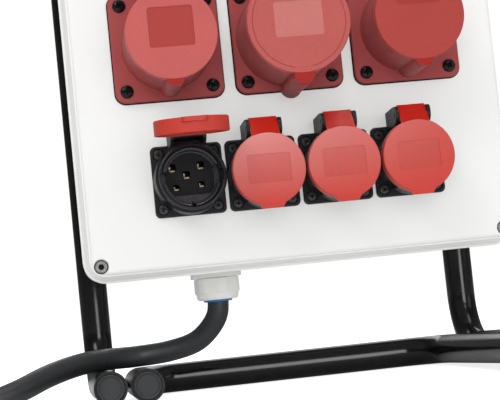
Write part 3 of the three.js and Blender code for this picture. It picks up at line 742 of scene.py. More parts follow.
def build_large_body(size):
    hinge_y, hinge_z, top = size.hinge_y, size.hinge_z, size.top
    body, boss = size.body, size.boss
    flange = soft_slab(inset_rect(76, 76, 7.5), 1.8, 4.8, edge=1.1)
    parts = [
        revolve_z([(0, 3.0), (body + 1.7, 3.0), (body + 1.7, 4.8), (body + 1.1, 5.1),
                   (body + 0.75, 5.8), (body + 0.6, 7.0), (body, top - 7.1),
                   (body - 0.5, top - 6.5), (0, top - 6.5)], 72),
        revolve_z([(0, 3.0), (boss + 0.8, 3.0), (boss + 0.5, 4.9), (boss + 0.25, 6.5),
                   (boss, top - 4.4), (boss - 0.6, top - 3.4), (0, top - 3.4)],
                  36, 0, size.boss_y),
        prism(circle(size.rear, 48), -22, 3.5),
        prism(rounded_rect(27, 22, 2, 4, 0, hinge_y - 6.5), 4, top - 24)]
    cheek = [(hinge_y - 10.2, top - 30), (hinge_y + 4.2, top - 30), (hinge_y + 4.2, hinge_z),
             (hinge_y - 4.2, hinge_z), (hinge_y - 10.2, top - 18)]
    for x0, x1 in ((-13.6, -9.4), (9.4, 13.6)):
        parts.append(extrude_x(cheek, x0, x1))
        parts.append(bar_x(4.2, x0, x1, hinge_y, hinge_z, 28))
    housing = join(flange, *parts)
    tools = [
        prism(circle(size.bore, 64), 1, top),
        prism(circle(size.rear - 2.4, 48), -23, 2),
        prism(circle(size.lid + 0.6, 72), top - 6.5, top + 1),
        bar_x(1.8, -20, 20, hinge_y, hinge_z, 20)]
    for x, y in corners(LARGE_SCREW):
        tools.append(prism(circle(2.3, 16, x, y), 0, 6))
    return bevel(cut(housing, *tools), 0.35)


def build_large_gasket(size):
    slab = soft_slab(inset_rect(77.4, 77.4, 8.1), 0.3, 1.6, edge=0.3)
    return cut(slab, prism(circle(size.rear + 0.4, 48), -1, 3))


def build_large_lid(size, half_tab, grooved, label):
    """Lid with latch tab and hinge neck. Material slots: face, edges, label field, tab."""
    hinge_y, hinge_z, radius, top = size.hinge_y, size.hinge_z, size.lid, size.top
    lid = revolve_z([
        (0, top - 3.2), (radius - 1.8, top - 3.2), (radius - 1.8, top - 6.0),
        (radius - 1.6, top - 6.2), (radius - 0.3, top - 6.2), (radius, top - 5.9),
        (radius + 0.05, top - 0.6), (radius - 0.45, top), (0, top)], 96)
    if grooved:
        lid = cut(lid, revolve_z([
            (radius - 3.75, top - 0.55), (radius - 3.3, top - 0.55), (radius - 3.15, top + 0.5),
            (radius - 3.9, top + 0.5)], 96, closed=True))
    root_x, root_y = half_tab[0]
    outline = [(-root_x, root_y)] + half_tab + [(-x, y) for x, y in reversed(half_tab[1:])]
    tab = prism(outline, top - 3.0, top - 0.12)
    neck = extrude_x([
        (radius - 6, top - 3), (hinge_y, hinge_z - 3.2), (hinge_y + 2.6, hinge_z - 1.9),
        (hinge_y + 3.2, hinge_z), (hinge_y + 2.6, hinge_z + 1.6), (hinge_y + 1.6, hinge_z + 2.9),
        (radius - 1, top - 0.2), (radius - 6, top - 0.2)], -9, 9)
    lid = join(lid, tab, neck, bar_x(3.3, -9, 9, hinge_y, hinge_z, 28))
    lid = cut(lid, bar_x(1.8, -10, 10, hinge_y, hinge_z, 20))
    width, height, x, y, depth = label
    lid = cut(lid, prism(rounded_rect(width, height, 1.8, 4, x, y), top - depth, top + 1))
    lid = bevel(lid, 0.28, material_slot=1)
    for face in lid.data.polygons:
        centre = face.center
        if face.material_index == 1:
            continue
        if (face.normal.z > 0.9 and top - 0.6 < centre.z < top - 0.2
                and abs(centre.x) < 17 and centre.y > -14):
            face.material_index = 2
        elif centre.y < -radius + 0.4 and centre.z > top - 3.2:
            face.material_index = 3
    return lid


def build_large_carrier(size):
    rear, insert, top = size.rear, size.insert, size.top
    carrier = revolve_z([
        (0, -20), (rear - 2.9, -20), (rear - 2.7, -19.8), (rear - 2.7, -14.3), (insert, -14),
        (insert, top - 22.8), (insert - 0.8, top - 22), (0, top - 22)], 56)
    tools = []
    for radius, x, y in large_pins(size):
        tools.append(revolve_z([(0, 4), (radius, 4), (radius, top - 23.2),
                                (radius + 1.4, top - 21.5), (0, top - 21.5)], 24, x, y))
    tools.append(prism(rect(-2, -insert - 1, 2, -insert + 1.6), 0, top))
    return bevel(cut(carrier, *tools), 0.2, angle=40)


def build_sleeve(radius, z0, z1):
    return revolve_z([(radius - 0.7, z0), (radius - 0.15, z0), (radius - 0.15, z1),
                      (radius - 0.35, z1 + 0.25), (radius - 0.7, z1)], 20, closed=True)


def place_large_socket(side, x, size, tab, grooved, label):
    at = (x, LARGE_Y, 0)
    name, node = f"{side}_industrial", f"{side}_large_socket"
    place(build_large_body(size), f"{name}_housing", HOUSING_RED, at=at,
          node=f"{node}_body", smooth=35)
    place(build_large_gasket(size), f"{name}_gasket", RUBBER_AND_RECESS_SHADE, at=at,
          node=f"{node}_gasket")
    place(build_large_carrier(size), f"{name}_carrier", BLACK, at=at,
          node=f"{node}_contact_carrier")
    for i, (radius, pin_x, pin_y) in enumerate(large_pins(size), 1):
        place(build_sleeve(radius, 6, size.top - 26), f"{name}_contact_{i}", BRASS,
              at=(x + pin_x, LARGE_Y + pin_y, 0))
    place(build_large_lid(size, tab, grooved, label), f"{name}_lid",
          [LARGE_LID_RED_WITH_SHEEN[side], EDGE_RED, LARGE_LABEL_RED[side], TAB_RED],
          body=f"{side}_large_lid", at=at, node=f"{node}_lid", smooth=35)
    pin = bar_x(1.5, -14.2, 14.2, size.hinge_y, size.hinge_z, 20)
    place(bevel(pin, 0.25, angle=40), f"{name}_pin", ZINC, at=at,
          node=f"{node}_hinge_pin")
    for k, (dx, dy) in enumerate(corners(LARGE_SCREW), 1):
        screw = moved(copy_of(pan_screw), Matrix.Rotation(0.5 * k + x * 0.01, 4, "Z"))
        place(screw, f"{name}_screw_{k}", [SCREW_BLACK, RUBBER_AND_RECESS_SHADE],
              at=(x + dx, LARGE_Y + dy, 4.75))


for socket in LARGE_SOCKETS:
    place_large_socket(*socket)


# ------------------------------------------------------------------------------------------
# Small sockets
# ------------------------------------------------------------------------------------------
# (y, z) outline of the cheeks beside the hinge
SMALL_CHEEK = [
    (22, 0.4), (34.3, 0.4), (35.4, 20), (35.5, 27.5), (35.2, 29.2), (34.4, 30.8), (33, 32),
    (31, 32.4), (28.4, 32.3), (26.8, 31.6), (24.6, 29.7), (23.9, 27.6), (23.6, 26.2), (22, 25.4)]

# openings in the carrier: x, y, width, height
SMALL_HOLES = [(-11.6, 8.0, 5.2, 5.6), (8.2, 8.4, 5.2, 5.6), (-2.0, 2.6, 5.2, 5.6),
               (-9.8, -5.6, 4.4, 4.4), (7.8, -4.6, 4.4, 4.4)]


def build_small_body():
    flange = soft_slab(inset_rect(49.6, 49.6, 3.6, steps=6, loss=0.9), 0.4, 3.4, edge=0.9)
    collar = revolve_z([(0, 2.5), (24.6, 2.5), (24.5, 4.2), (24.4, 25.2), (23.9, 25.8),
                        (0, 25.8)], 72)
    # the collar is scalloped to clear the flange screws
    collar = cut(collar, *[prism(circle(5.0, 32, x, y), 3.4, 27)
                           for x, y in corners(SMALL_SCREW)])
    ring = revolve_z([(0, 20), (22.6, 20), (22.6, 32.1), (22.3, 32.7), (21.7, 33.0), (0, 33.0)],
                     72)
    body = join(
        flange, collar, ring,
        prism(circle(21.6, 48), -16, 3),
        extrude_x(SMALL_CHEEK, -12.3, -9.95),
        extrude_x(SMALL_CHEEK, 9.95, 12.3),
        prism(rect(-10.2, 22, 10.2, 34.3), 0.4, 6))
    tools = [
        revolve_z([(0, -17), (20.4, -17), (20.4, 32.0), (21.2, 33.4), (0, 33.4)], 64),
        prism(rect(-9.95, 23.4, 9.95, 30), 14, 27),
        bar_x(1.6, -13, 13, SMALL_HINGE_Y, SMALL_HINGE_Z, 20)]
    for x, y in corners(SMALL_SCREW):
        recess = [(0, 2.0), (3.8, 2.0), (3.9, 3.0), (4.5, 3.7), (0, 3.7)]
        tools.append(revolve_z(recess, 32, x, y))
        tools.append(prism(circle(1.7, 12, x, y), -1, 3))
    body = cut(body, *tools)
    # bayonet slots inside the mouth
    body = cut(body, prism(rect(-21.5, -4, -19, 4), 14, 34), prism(rect(19, -4, 21.5, 4), 14, 34))
    return bevel(body, 0.3)


def build_small_lid():
    """Closed lid. Material slots: face, edges, label field, front of neck, back of neck painted
    near black as painted shade.
    """
    top = SMALL_TOP
    lid = revolve_z([(0, top - 2.6), (23.3, top - 2.6), (23.3, top - 9.8), (23.5, top - 10),
                     (24.7, top - 10), (25.0, top - 9.6), (25.05, top - 0.7), (24.5, top),
                     (0, top)], 96)
    tab = prism([(-9.35, -23), (-6.85, -26.7), (6.85, -26.7), (9.35, -23), (3, -20), (-3, -20)],
                top - 3, top)
    neck = [(20, top - 2.6), (23.6, top - 2.8), (26.6, 29), (27, 26.4), (28.2, 25.9),
            (29.5, 25.8), (32, 26.4), (36.2, 23.8), (36.6, 24.6), (36.6, 26.0), (30.5, 31.6),
            (23.2, top), (20, top)]
    lid = join(lid, tab, extrude_x(neck, -9.65, 9.65),
               bar_x(1.3, -11.9, 11.9, SMALL_HINGE_Y, SMALL_HINGE_Z, 16))
    lid = cut(lid, prism(rounded_rect(29.8, 19.6, 1.4, 4, -0.1, 0.4), top - 0.42, top + 1))
    lid = bevel(lid, 0.26, material_slot=1)
    for face in lid.data.polygons:
        centre, normal = face.center, face.normal
        if face.material_index == 1:
            continue
        if (normal.z > 0.9 and top - 0.6 < centre.z < top - 0.2
                and abs(centre.x) < 15.5 and abs(centre.y) < 12):
            face.material_index = 2
        elif centre.y > 23.2 and 0.1 < normal.z < 0.97:
            face.material_index = 3
        # the back of the neck takes near black as painted shade
        elif centre.y > 22.5 and normal.z < -0.05 and abs(centre.x) < 9.6:
            face.material_index = 4
    return lid


def build_small_carrier():
    """Floor of the mouth, two rounded rings and a raised segment below a chord."""
    floor_disc = revolve_z(rect(0, -14, 19.9, 12), 64)
    outer = revolve_z([(18.0, 10), (20.3, 10), (20.3, 25.6), (20.1, 26.3), (19.5, 26.7),
                       (18.8, 26.5), (18.4, 25.9), (18.2, 24.8), (18.0, 21.4)], 72, closed=True)
    inner = revolve_z([(16.9, 10), (18.3, 10), (18.3, 19.4), (18.1, 20.2), (17.7, 20.5),
                       (17.2, 20.2), (16.9, 19.4)], 72, closed=True)
    segment = loft([
        [(-19, -11.2, 10.0), (19, -11.2, 10.0), (19, -21, 10.0), (-19, -21, 10.0)],
        [(-19, -11.6, 17.2), (19, -11.6, 17.2), (19, -21, 19.4), (-19, -21, 19.4)]])
    segment = boolean(segment, [prism(circle(18.1, 64), 9, 26)], "INTERSECT")
    carrier = join(floor_disc, outer, inner, segment)
    tools = [prism(rounded_rect(width, height, 1.0, 3, x, y), -4, 13)
             for x, y, width, height in SMALL_HOLES]
    tools.append(prism([(-2.4, -21), (2.4, -21), (0, -15.6)], 11, 30))
    tools.append(prism(rounded_rect(5.0, 13.6, 0.8, 3, 18.4, 1.0), 13, 30))
    tools.append(prism(rounded_rect(4.0, 9.0, 0.8, 3, -18.6, 0.5), 13, 30))
    carrier = bevel(cut(carrier, *tools), 0.3)
    # faces off the floor take the second material, lighter grey as painted light
    for face in carrier.data.polygons:
        centre = face.center
        on_floor = centre.z < 12.6 and hypot(centre.x, centre.y) < 17
        face.material_index = 0 if on_floor else 1
    return carrier


def build_contact(x, y, width, height):
    """Folded contact spring inside one opening."""
    return merge(
        bevel(prism(rounded_rect(width - 1.5, 1.2, 0.3, 2, x, y - height / 2 + 1.0),
                    -3.6, 11.2), 0.2),
        bevel(prism(rounded_rect(1.1, height - 3.2, 0.3, 2, x - width / 2 + 1.0, y + 0.4),
                    -3.6, 10.8), 0.2))


LID_OPENING = (Matrix.Translation((0, SMALL_HINGE_Y, SMALL_HINGE_Z))
               @ Matrix.Rotation(-radians(86.5), 4, "X")
               @ Matrix.Translation((0, -SMALL_HINGE_Y, -SMALL_HINGE_Z)))

small_body, small_lid, small_carrier = build_small_body(), build_small_lid(), build_small_carrier()
for order, x in zip(("first", "second", "third", "fourth"), SMALL_X):
    at = (x, 0, 0)
    name, node = f"{order}_domestic", f"{order}_small_socket"
    place(copy_of(small_body), f"{name}_housing", BLACK, at=at,
          node=f"{node}_body", smooth=35)
    place(copy_of(small_carrier), f"{name}_carrier", [INNER_BLACK_AND_NECK_SHADE, RING_BLACK_PAINTED_LIGHT],
          at=at, node=f"{node}_contact_carrier", smooth=35)
    for k, hole in enumerate(SMALL_HOLES, 1):
        place(build_contact(*hole), f"{name}_contact_{k}", BRASS, at=at)
    lid = copy_of(small_lid)
    face_red, label_red = LID_RED, LABEL_RED
    if order == "first":  # this lid stands open
        moved(lid, LID_OPENING)
        face_red = label_red = OPEN_RED
    place(lid, f"{name}_lid", [face_red, EDGE_RED, label_red, NECK_RED, INNER_BLACK_AND_NECK_SHADE],
          body=f"{order}_small_lid", at=at, node=f"{node}_lid", smooth=35)
    for k, (dx, dy) in enumerate(corners(SMALL_SCREW), 1):
        screw = moved(copy_of(flat_screw), Matrix.Rotation(0.7 * k + x * 0.02, 4, "Z"))
        place(screw, f"{name}_screw_{k}", [FLANGE_SCREW_PAINTED_HIGHLIGHT, RUBBER_AND_RECESS_SHADE],
              at=(x + dx, dy, 2.05))
drop(small_body, small_lid, small_carrier, pan_screw, flat_screw)

# ------------------------------------------------------------------------------------------
# Breaker window
# ------------------------------------------------------------------------------------------
WINDOW_AT = (0, WINDOW_Y, 0)
MODULE = 18  # width of one device module
DEVICES_LEFT = -108
TEST_X, TEST_Y = 22, 10  # test button, from the centre of its breaker

# CAD name, short name, modules, width of the lever slot
DEVICES = (("residual_current_breaker", "rcd", 4, 14), ("breaker_1", "mcb_1", 3, 50),
           ("breaker_2", "mcb_2", 3, 50), ("breaker_3", "mcb_3", 2, 32))

# (y, z) section of the mounting rail
RAIL = [(-17.5, -52.4), (-17.5, -53.6), (-13.5, -53.6), (-13.5, -60), (13.5, -60),
        (13.5, -53.6), (17.5, -53.6), (17.5, -52.4), (12.3, -52.4), (12.3, -58.8),
        (-12.3, -58.8), (-12.3, -52.4)]


def build_flap_lug(x0, x1):
    return join(extrude_x(rect(48.4, 6, 54.6, FLAP_HINGE_Z), x0, x1),
                bar_x(3.1, x0, x1, FLAP_HINGE_Y, FLAP_HINGE_Z, 24))


def build_window_frame():
    frame = soft_slab(inset_rect(252, 108, 6, y=2, loss=0.8), 0.3, 8.0, edge=1.2)
    frame = cut(frame, prism(rounded_rect(222, 58, 3, 6), -1, 10))
    frame = join(frame, build_flap_lug(-106, -100), build_flap_lug(100, 106))
    frame = cut(frame, bar_x(1.6, -108, 108, FLAP_HINGE_Y, FLAP_HINGE_Z, 16))
    return bevel(frame, 0.35)


def build_window_flap():
    flap = soft_slab(inset_rect(244, 94, 6, y=0.6, loss=0.6), 8.4, 24.0, edge=2.2)
    flap = cut(flap, stack(inset_rect(238, 88, 4, y=0.6, loss=0),
                           [(0, 7), (0, 19.8), (1.0, 21.4)]))
    knuckle = [(46.4, 10), (50.5, 9.8), (54, 11.5), (54, 13.6), (50.5, 15.4), (46.4, 15.4)]
    flap = join(flap, extrude_x(knuckle, -99.4, 99.4),
                bar_x(1.3, -105.6, 105.6, FLAP_HINGE_Y, FLAP_HINGE_Z, 12))
    return bevel(flap, 0.3)


def build_device(modules, slot_width, has_test_button):
    width = MODULE * modules
    half = width / 2 - 0.15
    case = extrude_x([(-41, -52), (41, -52), (41, -13), (22.3, -13), (22.3, 4), (-22.3, 4),
                      (-22.3, -13), (-41, -13)], -half, half)
    tools = [prism(rect(-slot_width / 2, -8.6, slot_width / 2, 8.6), -8.5, 5)]
    for k in range(1, modules):  # joints between the modules
        x = -width / 2 + MODULE * k
        for y0, y1 in ((-30, -9.5), (9.5, 30)):
            tools.append(prism(rect(x - 0.2, y0, x + 0.2, y1), 3.4, 5))
    for k in range(modules):  # terminal screw wells
        for y in (-33, 33):
            x = -width / 2 + MODULE * k + MODULE / 2
            tools.append(prism(circle(3.2, 20, x, y), -18, -12))
    if has_test_button:
        tools.append(prism(circle(3.3, 24, TEST_X, TEST_Y), -8, 6))
    return bevel(cut(case, *tools), 0.35)


def build_lever(slot_width):
    """Barrel across the slot, with an arm tilted upward."""
    tilt = radians(38)
    half = (slot_width - 0.8) / 2
    arm = [(-2, 0), (2, 0), (1.6, 14.2), (1.0, 15.0), (-1.0, 15.0), (-1.6, 14.2)]
    arm = [(y * cos(tilt) + z * sin(tilt), -y * sin(tilt) + z * cos(tilt)) for y, z in arm]
    return bevel(join(bar_x(5, -half, half, 0, 0, 32), extrude_x(arm, -half, half)), 0.3)


place(build_window_frame(), "window_surround", PALE_GREY, at=WINDOW_AT,
      node="window_frame")
place(build_window_flap(), "window_cover", SMOKED_GLASS, body="window",
      at=WINDOW_AT, node="window_flap")
place(bevel(extrude_x(RAIL, -125, 125), 0.25), "mounting_rail", ZINC,
      at=WINDOW_AT, node="din_rail")

left = DEVICES_LEFT
for name, short, modules, slot_width in DEVICES:
    x = left + MODULE * modules / 2
    place(build_device(modules, slot_width, short == "rcd"), f"{short}_case", DEVICE_GREY,
          at=(x, WINDOW_Y, 0), node=f"{name}_body")
    place(build_lever(slot_width), f"{short}_lever", DEVICE_DARK,
          body=f"{name}_lever", at=(x, WINDOW_Y, -2), node=f"{name}_toggle")
    left += MODULE * modules
button = revolve_z([(0, -5.5), (3.0, -5.5), (3.0, 5.1), (2.6, 5.6), (0, 5.6)], 32)
place(button, "rcd_test_button", BLUE, body="test_button",
      at=(DEVICES_LEFT + 2 * MODULE + TEST_X, WINDOW_Y + TEST_Y, 0),
      node="residual_current_test_button")

# ------------------------------------------------------------------------------------------
# Stand
# ------------------------------------------------------------------------------------------
LOOP_X, LOOP_LOW_Y, LOOP_TOP_Y, LOOP_Z = 147.0, -141.7, 385, -146.5
FLOOR_X, FLOOR_Y, FLOOR_Z = 119.7, -141.2, -132.0
# open arm ends, left (-1) and right (1); the stand sits about a quarter degree out of true
LOOP_TIP = {-1: (-147.1, -133.9, 64.0), 1: (147.1, -135.0, 64.0)}
FLOOR_TIP = {-1: (-123.3, -134.4, 64.0), 1: (123.3, -135.5, 64.0)}
SIDES = (("left", -1), ("right", 1))
PLATE_SCREW_X = 95

# (radius, z) of the plug in a tube end; z = 0 is its outermost rim
END_PLUG = [(0, -15.6), (8.2, -15.6), (8.7, -15.0), (9.25, -1.6), (9.3, -0.9), (9.0, -0.25),
            (8.5, 0.0), (7.9, -0.2), (7.5, -0.8), (6.9, -1.5), (4.5, -1.75), (0, -1.85)]

# (x, z) section of the cross plates, open to the rear at both folded ends
PLATE = [(-130, -132.3), (-130, -145), (-135.6, -145), (-135.6, -148), (-127, -148),
         (-127, -135.3), (127, -135.3), (127, -148), (135.6, -148), (135.6, -145), (130, -145),
         (130, -132.3)]


def build_tube(path, bend_radius):
    """Bent tube, bored open at both ends."""
    made = round_bar(bent(path, bend_radius), 11.0, 48)
    for end, neighbour in ((path[0], path[1]), (path[-1], path[-2])):
        end = Vector(end)
        into = (Vector(neighbour) - end).normalized()
        made = cut(made, round_bar([end - into * 2, end + into * 24], 9.4, 40))
    return made


def build_cross_plate(y):
    plate = extrude_y(PLATE, y - 16, y + 16)
    holes = [moved(revolve_z(rect(0, -136, 2.7, -131), 20), Matrix.Translation((x, y, 0)))
             for x in (-PLATE_SCREW_X, PLATE_SCREW_X)]
    return bevel(cut(plate, *holes), 0.4)


def build_plate_screw():
    screw = revolve_z([(0, 0), (4.4, 0), (4.4, 1.2), (3.6, 2.2), (2.2, 2.8), (0, 3.0)], 28)
    screw = cut(screw, prism(circle(1.7, 6), 1.2, 4))
    return bevel(moved(screw, Matrix.Rotation(pi, 4, "X")), 0.12, segments=1, angle=40)


def build_bead(start, span, radius, ripple, beat, phase, tip, count):
    """Weld bead from start along span, rippled by a sine and pinched to `tip` at both ends."""
    points = [[a + b * i / 24 for a, b in zip(start, span)] for i in range(25)]
    radii = [radius + ripple * sin(i * beat + phase) for i in range(25)]
    radii[0] = radii[-1] = tip
    return sweep(points, radii, count)


loop_path = [LOOP_TIP[-1], (-LOOP_X, LOOP_LOW_Y, LOOP_Z), (-LOOP_X, LOOP_TOP_Y, LOOP_Z),
             (LOOP_X, LOOP_TOP_Y, LOOP_Z), (LOOP_X, LOOP_LOW_Y, LOOP_Z), LOOP_TIP[1]]
floor_path = [FLOOR_TIP[-1], (-FLOOR_X, FLOOR_Y, FLOOR_Z), (FLOOR_X, FLOOR_Y, FLOOR_Z),
              FLOOR_TIP[1]]
place(build_tube(loop_path, 40), "carrying_loop_tube", LACQUER,
      node="upright_loop", weighted=False)
place(build_tube(floor_path, 32), "floor_u_tube", LACQUER, node="base_u_tube",
      weighted=False)

end_plug = revolve_z(END_PLUG, 56)
for kind, tips, (x, y, z) in (("loop", LOOP_TIP, (LOOP_X, LOOP_LOW_Y, LOOP_Z)),
                              ("base", FLOOR_TIP, (FLOOR_X, FLOOR_Y, FLOOR_Z))):
    for side, sign in SIDES:
        tip = Vector(tips[sign])
        outward = (tip - Vector((sign * x, y, z))).normalized()
        turn = outward.to_track_quat("Z", "Y").to_matrix().to_4x4()
        place(moved(copy_of(end_plug), Matrix.Translation(tip) @ turn),
              f"{side}_{kind}_tube_plug", PLUG_BLACK,
              node=f"{side}_{kind}_end_plug")
drop(end_plug)

for level, y in (("lower", -20), ("upper", 270)):
    node = f"{level}_cross_plate"
    place(build_cross_plate(y), f"{level}_carrier_plate", LACQUER, node=node)
    for letter, sign in (("l", -1), ("r", 1)):
        place(build_plate_screw(), f"{node}_screw_{letter}", ZINC,
              at=(sign * PLATE_SCREW_X, y, -135.35))
    # beads where the folded ends meet the uprights
    for letter, sign in (("l", -1), ("r", 1)):
        bead = build_bead(start=(sign * 135.9, y - 15, -148.6), span=(0, 30, 0), radius=1.5,
                          ripple=0.28, beat=2.1, phase=0, tip=0.6, count=14)
        place(bead, f"{node}_bead_{letter}", WELD, weighted=False)

# tabs between the floor tube and the loop, with a bead along both edges
for side, sign in SIDES:
    node = f"{side}_weld_tab"
    edges = sorted((sign * 132.3, sign * 136.2))
    tab = prism(rect(edges[0], -140.4, edges[1], -136.4), -72, -32)
    place(bevel(tab, 0.5), f"{side}_joining_tab", LACQUER, node=node)
    for j, x in enumerate(edges):
        bead = build_bead(start=(x, -136.2, -70), span=(0, 0.02, 36), radius=1.3, ripple=0.25,
                          beat=2.3, phase=j, tip=0.5, count=12)
        place(bead, f"{node}_bead_{j + 1}", WELD, weighted=False)

# ------------------------------------------------------------------------------------------
# Cable entry
# ------------------------------------------------------------------------------------------
GLAND_AT = (GLAND_X, 0, GLAND_Z)

# radius, y from the base's lower wall, whether flats are cut between the grip ribs
DOME = [(16.1, 5.9, True), (16.6, 6.4, True), (16.7, 15.8, True), (16.4, 16.8, True),
        (15.6, 17.3, False), (15.5, 17.8, False), (15.4, 19.8, False), (15.0, 21.0, False),
        (14.3, 21.7, False), (13.3, 22.0, False)]


def hexagon(flats, y0, y1, phase=0.0):
    radius = flats / sqrt(3)
    return extrude_y([(radius * cos(phase + pi * i / 3), radius * sin(phase + pi * i / 3))
                      for i in range(6)], y0, y1)


def build_gland_body():
    wall = BASE_WALL_Y
    thread = revolve_y([(0, wall - 1), (15.8, wall - 1), (15.8, wall + 14.5), (15.2, wall + 15),
                        (0, wall + 15)], 48)
    body = join(hexagon(35.5, wall - 5.6, wall - 0.3, pi / 2), thread)
    return bevel(cut(body, revolve_y(rect(0, -95, 9, 5), 32)), 0.5)


def build_gland_nut():
    nut = hexagon(40, BASE_WALL_Y + 4.3, BASE_WALL_Y + 10.3)
    return bevel(cut(nut, revolve_y(rect(0, -95, 16.2, 5), 40)), 0.5)


def build_dome():
    """Dome nut: six wide flats between grip ribs, a step, then a rounded nose."""
    count = 180
    rings = []
    for radius, drop_y, ribbed in DOME:
        ring = []
        for i in range(count):
            degrees = 360 * i / count
            reach = radius
            off_rib = abs((degrees - 10 + 30) % 60 - 30)
            if ribbed and off_rib > 9:
                flat = 15.6 / cos(radians(30 - off_rib))
                reach = radius + (min(flat, radius) - radius) * min(1.0, (off_rib - 9) / 3)
            angle = radians(degrees)
            ring.append((reach * sin(angle), BASE_WALL_Y - drop_y, reach * cos(angle)))
        rings.append(ring)
    dome = cut(loft(rings), revolve_y(rect(0, -100, 10.8, 0), 48))
    return bevel(dome, 0.3, angle=45)


def build_gland_seal():
    wall = BASE_WALL_Y
    return revolve_y([(8.3, wall - 23.0), (8.6, wall - 23.4), (10.1, wall - 23.3),
                      (10.6, wall - 22.8), (10.6, wall - 8), (8.3, wall - 8)], 48, closed=True)


place(build_gland_body(), "gland_hex_body", GLAND_GREY, at=GLAND_AT,
      node="gland_body")
place(build_gland_nut(), "gland_nut_inside", GLAND_GREY, at=GLAND_AT)
place(build_dome(), "gland_dome", GLAND_GREY, at=GLAND_AT,
      node="gland_dome_nut", smooth=45)
place(build_gland_seal(), "gland_seal_ring", BLUE, at=GLAND_AT,
      node="gland_seal")

# ------------------------------------------------------------------------------------------
# Lead and plug
# ------------------------------------------------------------------------------------------
# points the lead passes through, from the gland to the plug
LEAD_KNOTS = [
    (-58, -40, -70), (-58, -60, -70), (-58, -84, -70), (-59.6, -95, -71), (-65.7, -104.8, -74),
    (-76.6, -113.6, -78), (-96.2, -118.6, -82), (-121, -120.1, -82), (-141.3, -119.7, -70),
    (-161, -120, -45), (-185, -124.4, -12), (-212, -133.5, 14), (-245, -141.2, 22),
    (-282, -142.4, 8), (-300, -142.4, -28), (-303, -139.5, -56), (-303, -130, -82),
    (-303, -120.4, -104), (-303, -118.3, -117), (-303, -118.3, -134)]

# (radius, y) of the plug, from the cable end over the handle to the open shroud
PLUG_PROFILE = [
    (0, 0), (11.0, 0), (11.5, 0.6), (13.5, 3.5), (14.2, 10), (14.8, 18), (17.0, 23), (22.5, 29),
    (24, 31), (26.4, 50), (27.3, 58), (28.8, 61), (29, 64), (31.0, 65.2), (31.6, 66.2),
    (31.6, 107.2), (31.2, 108), (29.0, 108), (28.4, 107.4), (28.4, 71), (0, 71)]

# the plug lies on its side, its open end pointing to the rear (-z)
PLUG_POSE = Matrix.Translation((-303, -118.3, -120)) @ Matrix.Rotation(-pi / 2, 4, "X")


def smooth_path(knots, steps=10):
    """Centripetal Catmull-Rom curve through the knots."""
    def between(a, b, start, end, t):
        return a * ((end - t) / (end - start)) + b * ((t - start) / (end - start))

    knots = [Vector(k) for k in knots]
    knots = [knots[0] * 2 - knots[1]] + knots + [knots[-1] * 2 - knots[-2]]
    points = []
    for p0, p1, p2, p3 in zip(knots, knots[1:], knots[2:], knots[3:]):
        t0 = 0.0
        t1 = t0 + (p1 - p0).length ** 0.5
        t2 = t1 + (p2 - p1).length ** 0.5
        t3 = t2 + (p3 - p2).length ** 0.5
        for k in range(steps):
            t = t1 + (t2 - t1) * k / steps
            first = between(p0, p1, t0, t1, t)
            middle = between(p1, p2, t1, t2, t)
            last = between(p2, p3, t2, t3, t)
            points.append(between(between(first, middle, t0, t2, t),
                                  between(middle, last, t1, t3, t), t1, t2, t))
    points.append(knots[-2])
    return points


def build_plug():
    plug = revolve_y(PLUG_PROFILE, 72)
    tools = [revolve_y(rect(0, -4, 8.6, 26), 32)]
    for i in range(18):  # grip grooves on the handle
        groove = extrude_y(rect(23.7, -0.9, 30.6, 0.9), 33, 56)
        tools.append(moved(groove, Matrix.Rotation(tau * i / 18, 4, "Y")))
    return bevel(cut(plug, *tools), 0.3, angle=40)


place(round_bar(smooth_path(LEAD_KNOTS), 7.85, 40), "supply_lead", CABLE,
      node="supply_cable", weighted=False)
plug_shell = place(moved(build_plug(), PLUG_POSE), "supply_plug_shell", OPEN_RED,
                   node="supply_plug", smooth=35)
plug_shell.visible_glossy = False
for i, (radius, x, z) in enumerate(five_pins(15.5, 3.6, 3.0), 1):
    pin = revolve_y([(0, 70), (radius, 70), (radius, 101.6), (radius - 0.5, 102.7),
                     (radius - 1.3, 103), (0, 103)], 28)
    moved(pin, Matrix.Translation((x, 0, z)))
    place(moved(pin, PLUG_POSE), f"supply_plug_pin_{i}", ZINC)
plug_ring = revolve_y([(28.9, 60.2), (30.2, 60.6), (31.9, 62.0), (31.9, 64.4), (30.2, 65.2),
                       (28.9, 65.0)], 72, closed=True)
place(moved(plug_ring, PLUG_POSE), "supply_plug_ring", BLACK)


# ------------------------------------------------------------------------------------------
# Floor and world
# ------------------------------------------------------------------------------------------
def floor_material():
    """White diffuse floor that also glows, for the camera only."""
    made = bpy.data.materials.new("floor_white")
    graph = fresh_graph(made)
    output = graph.node("OutputMaterial")
    diffuse = graph.node("BsdfDiffuse", {"Color": (0.90, 0.90, 0.90, 1)})
    camera_ray = graph.node("LightPath").outputs["Is Camera Ray"]
    glow = graph.node("Emission", {"Strength": graph.multiply(camera_ray, 0.8)})
    both = graph.node("AddShader", {0: diffuse.outputs[0], 1: glow.outputs[0]})
    graph.feed(output.inputs["Surface"], both.outputs[0])
    return made


def build_floor():
    half, z = 40, (PANEL_TO_WORLD @ Vector((0, -152.35, 0))).z
    mesh = bpy.data.meshes.new("floor")
    mesh.from_pydata([(x, y, z) for x, y in rect(-half, -half, half, half)], [], [(0, 1, 2, 3)])
    floor = bpy.data.objects.new("floor", mesh)
    PIECES.objects.link(floor)
    mesh.materials.append(floor_material())


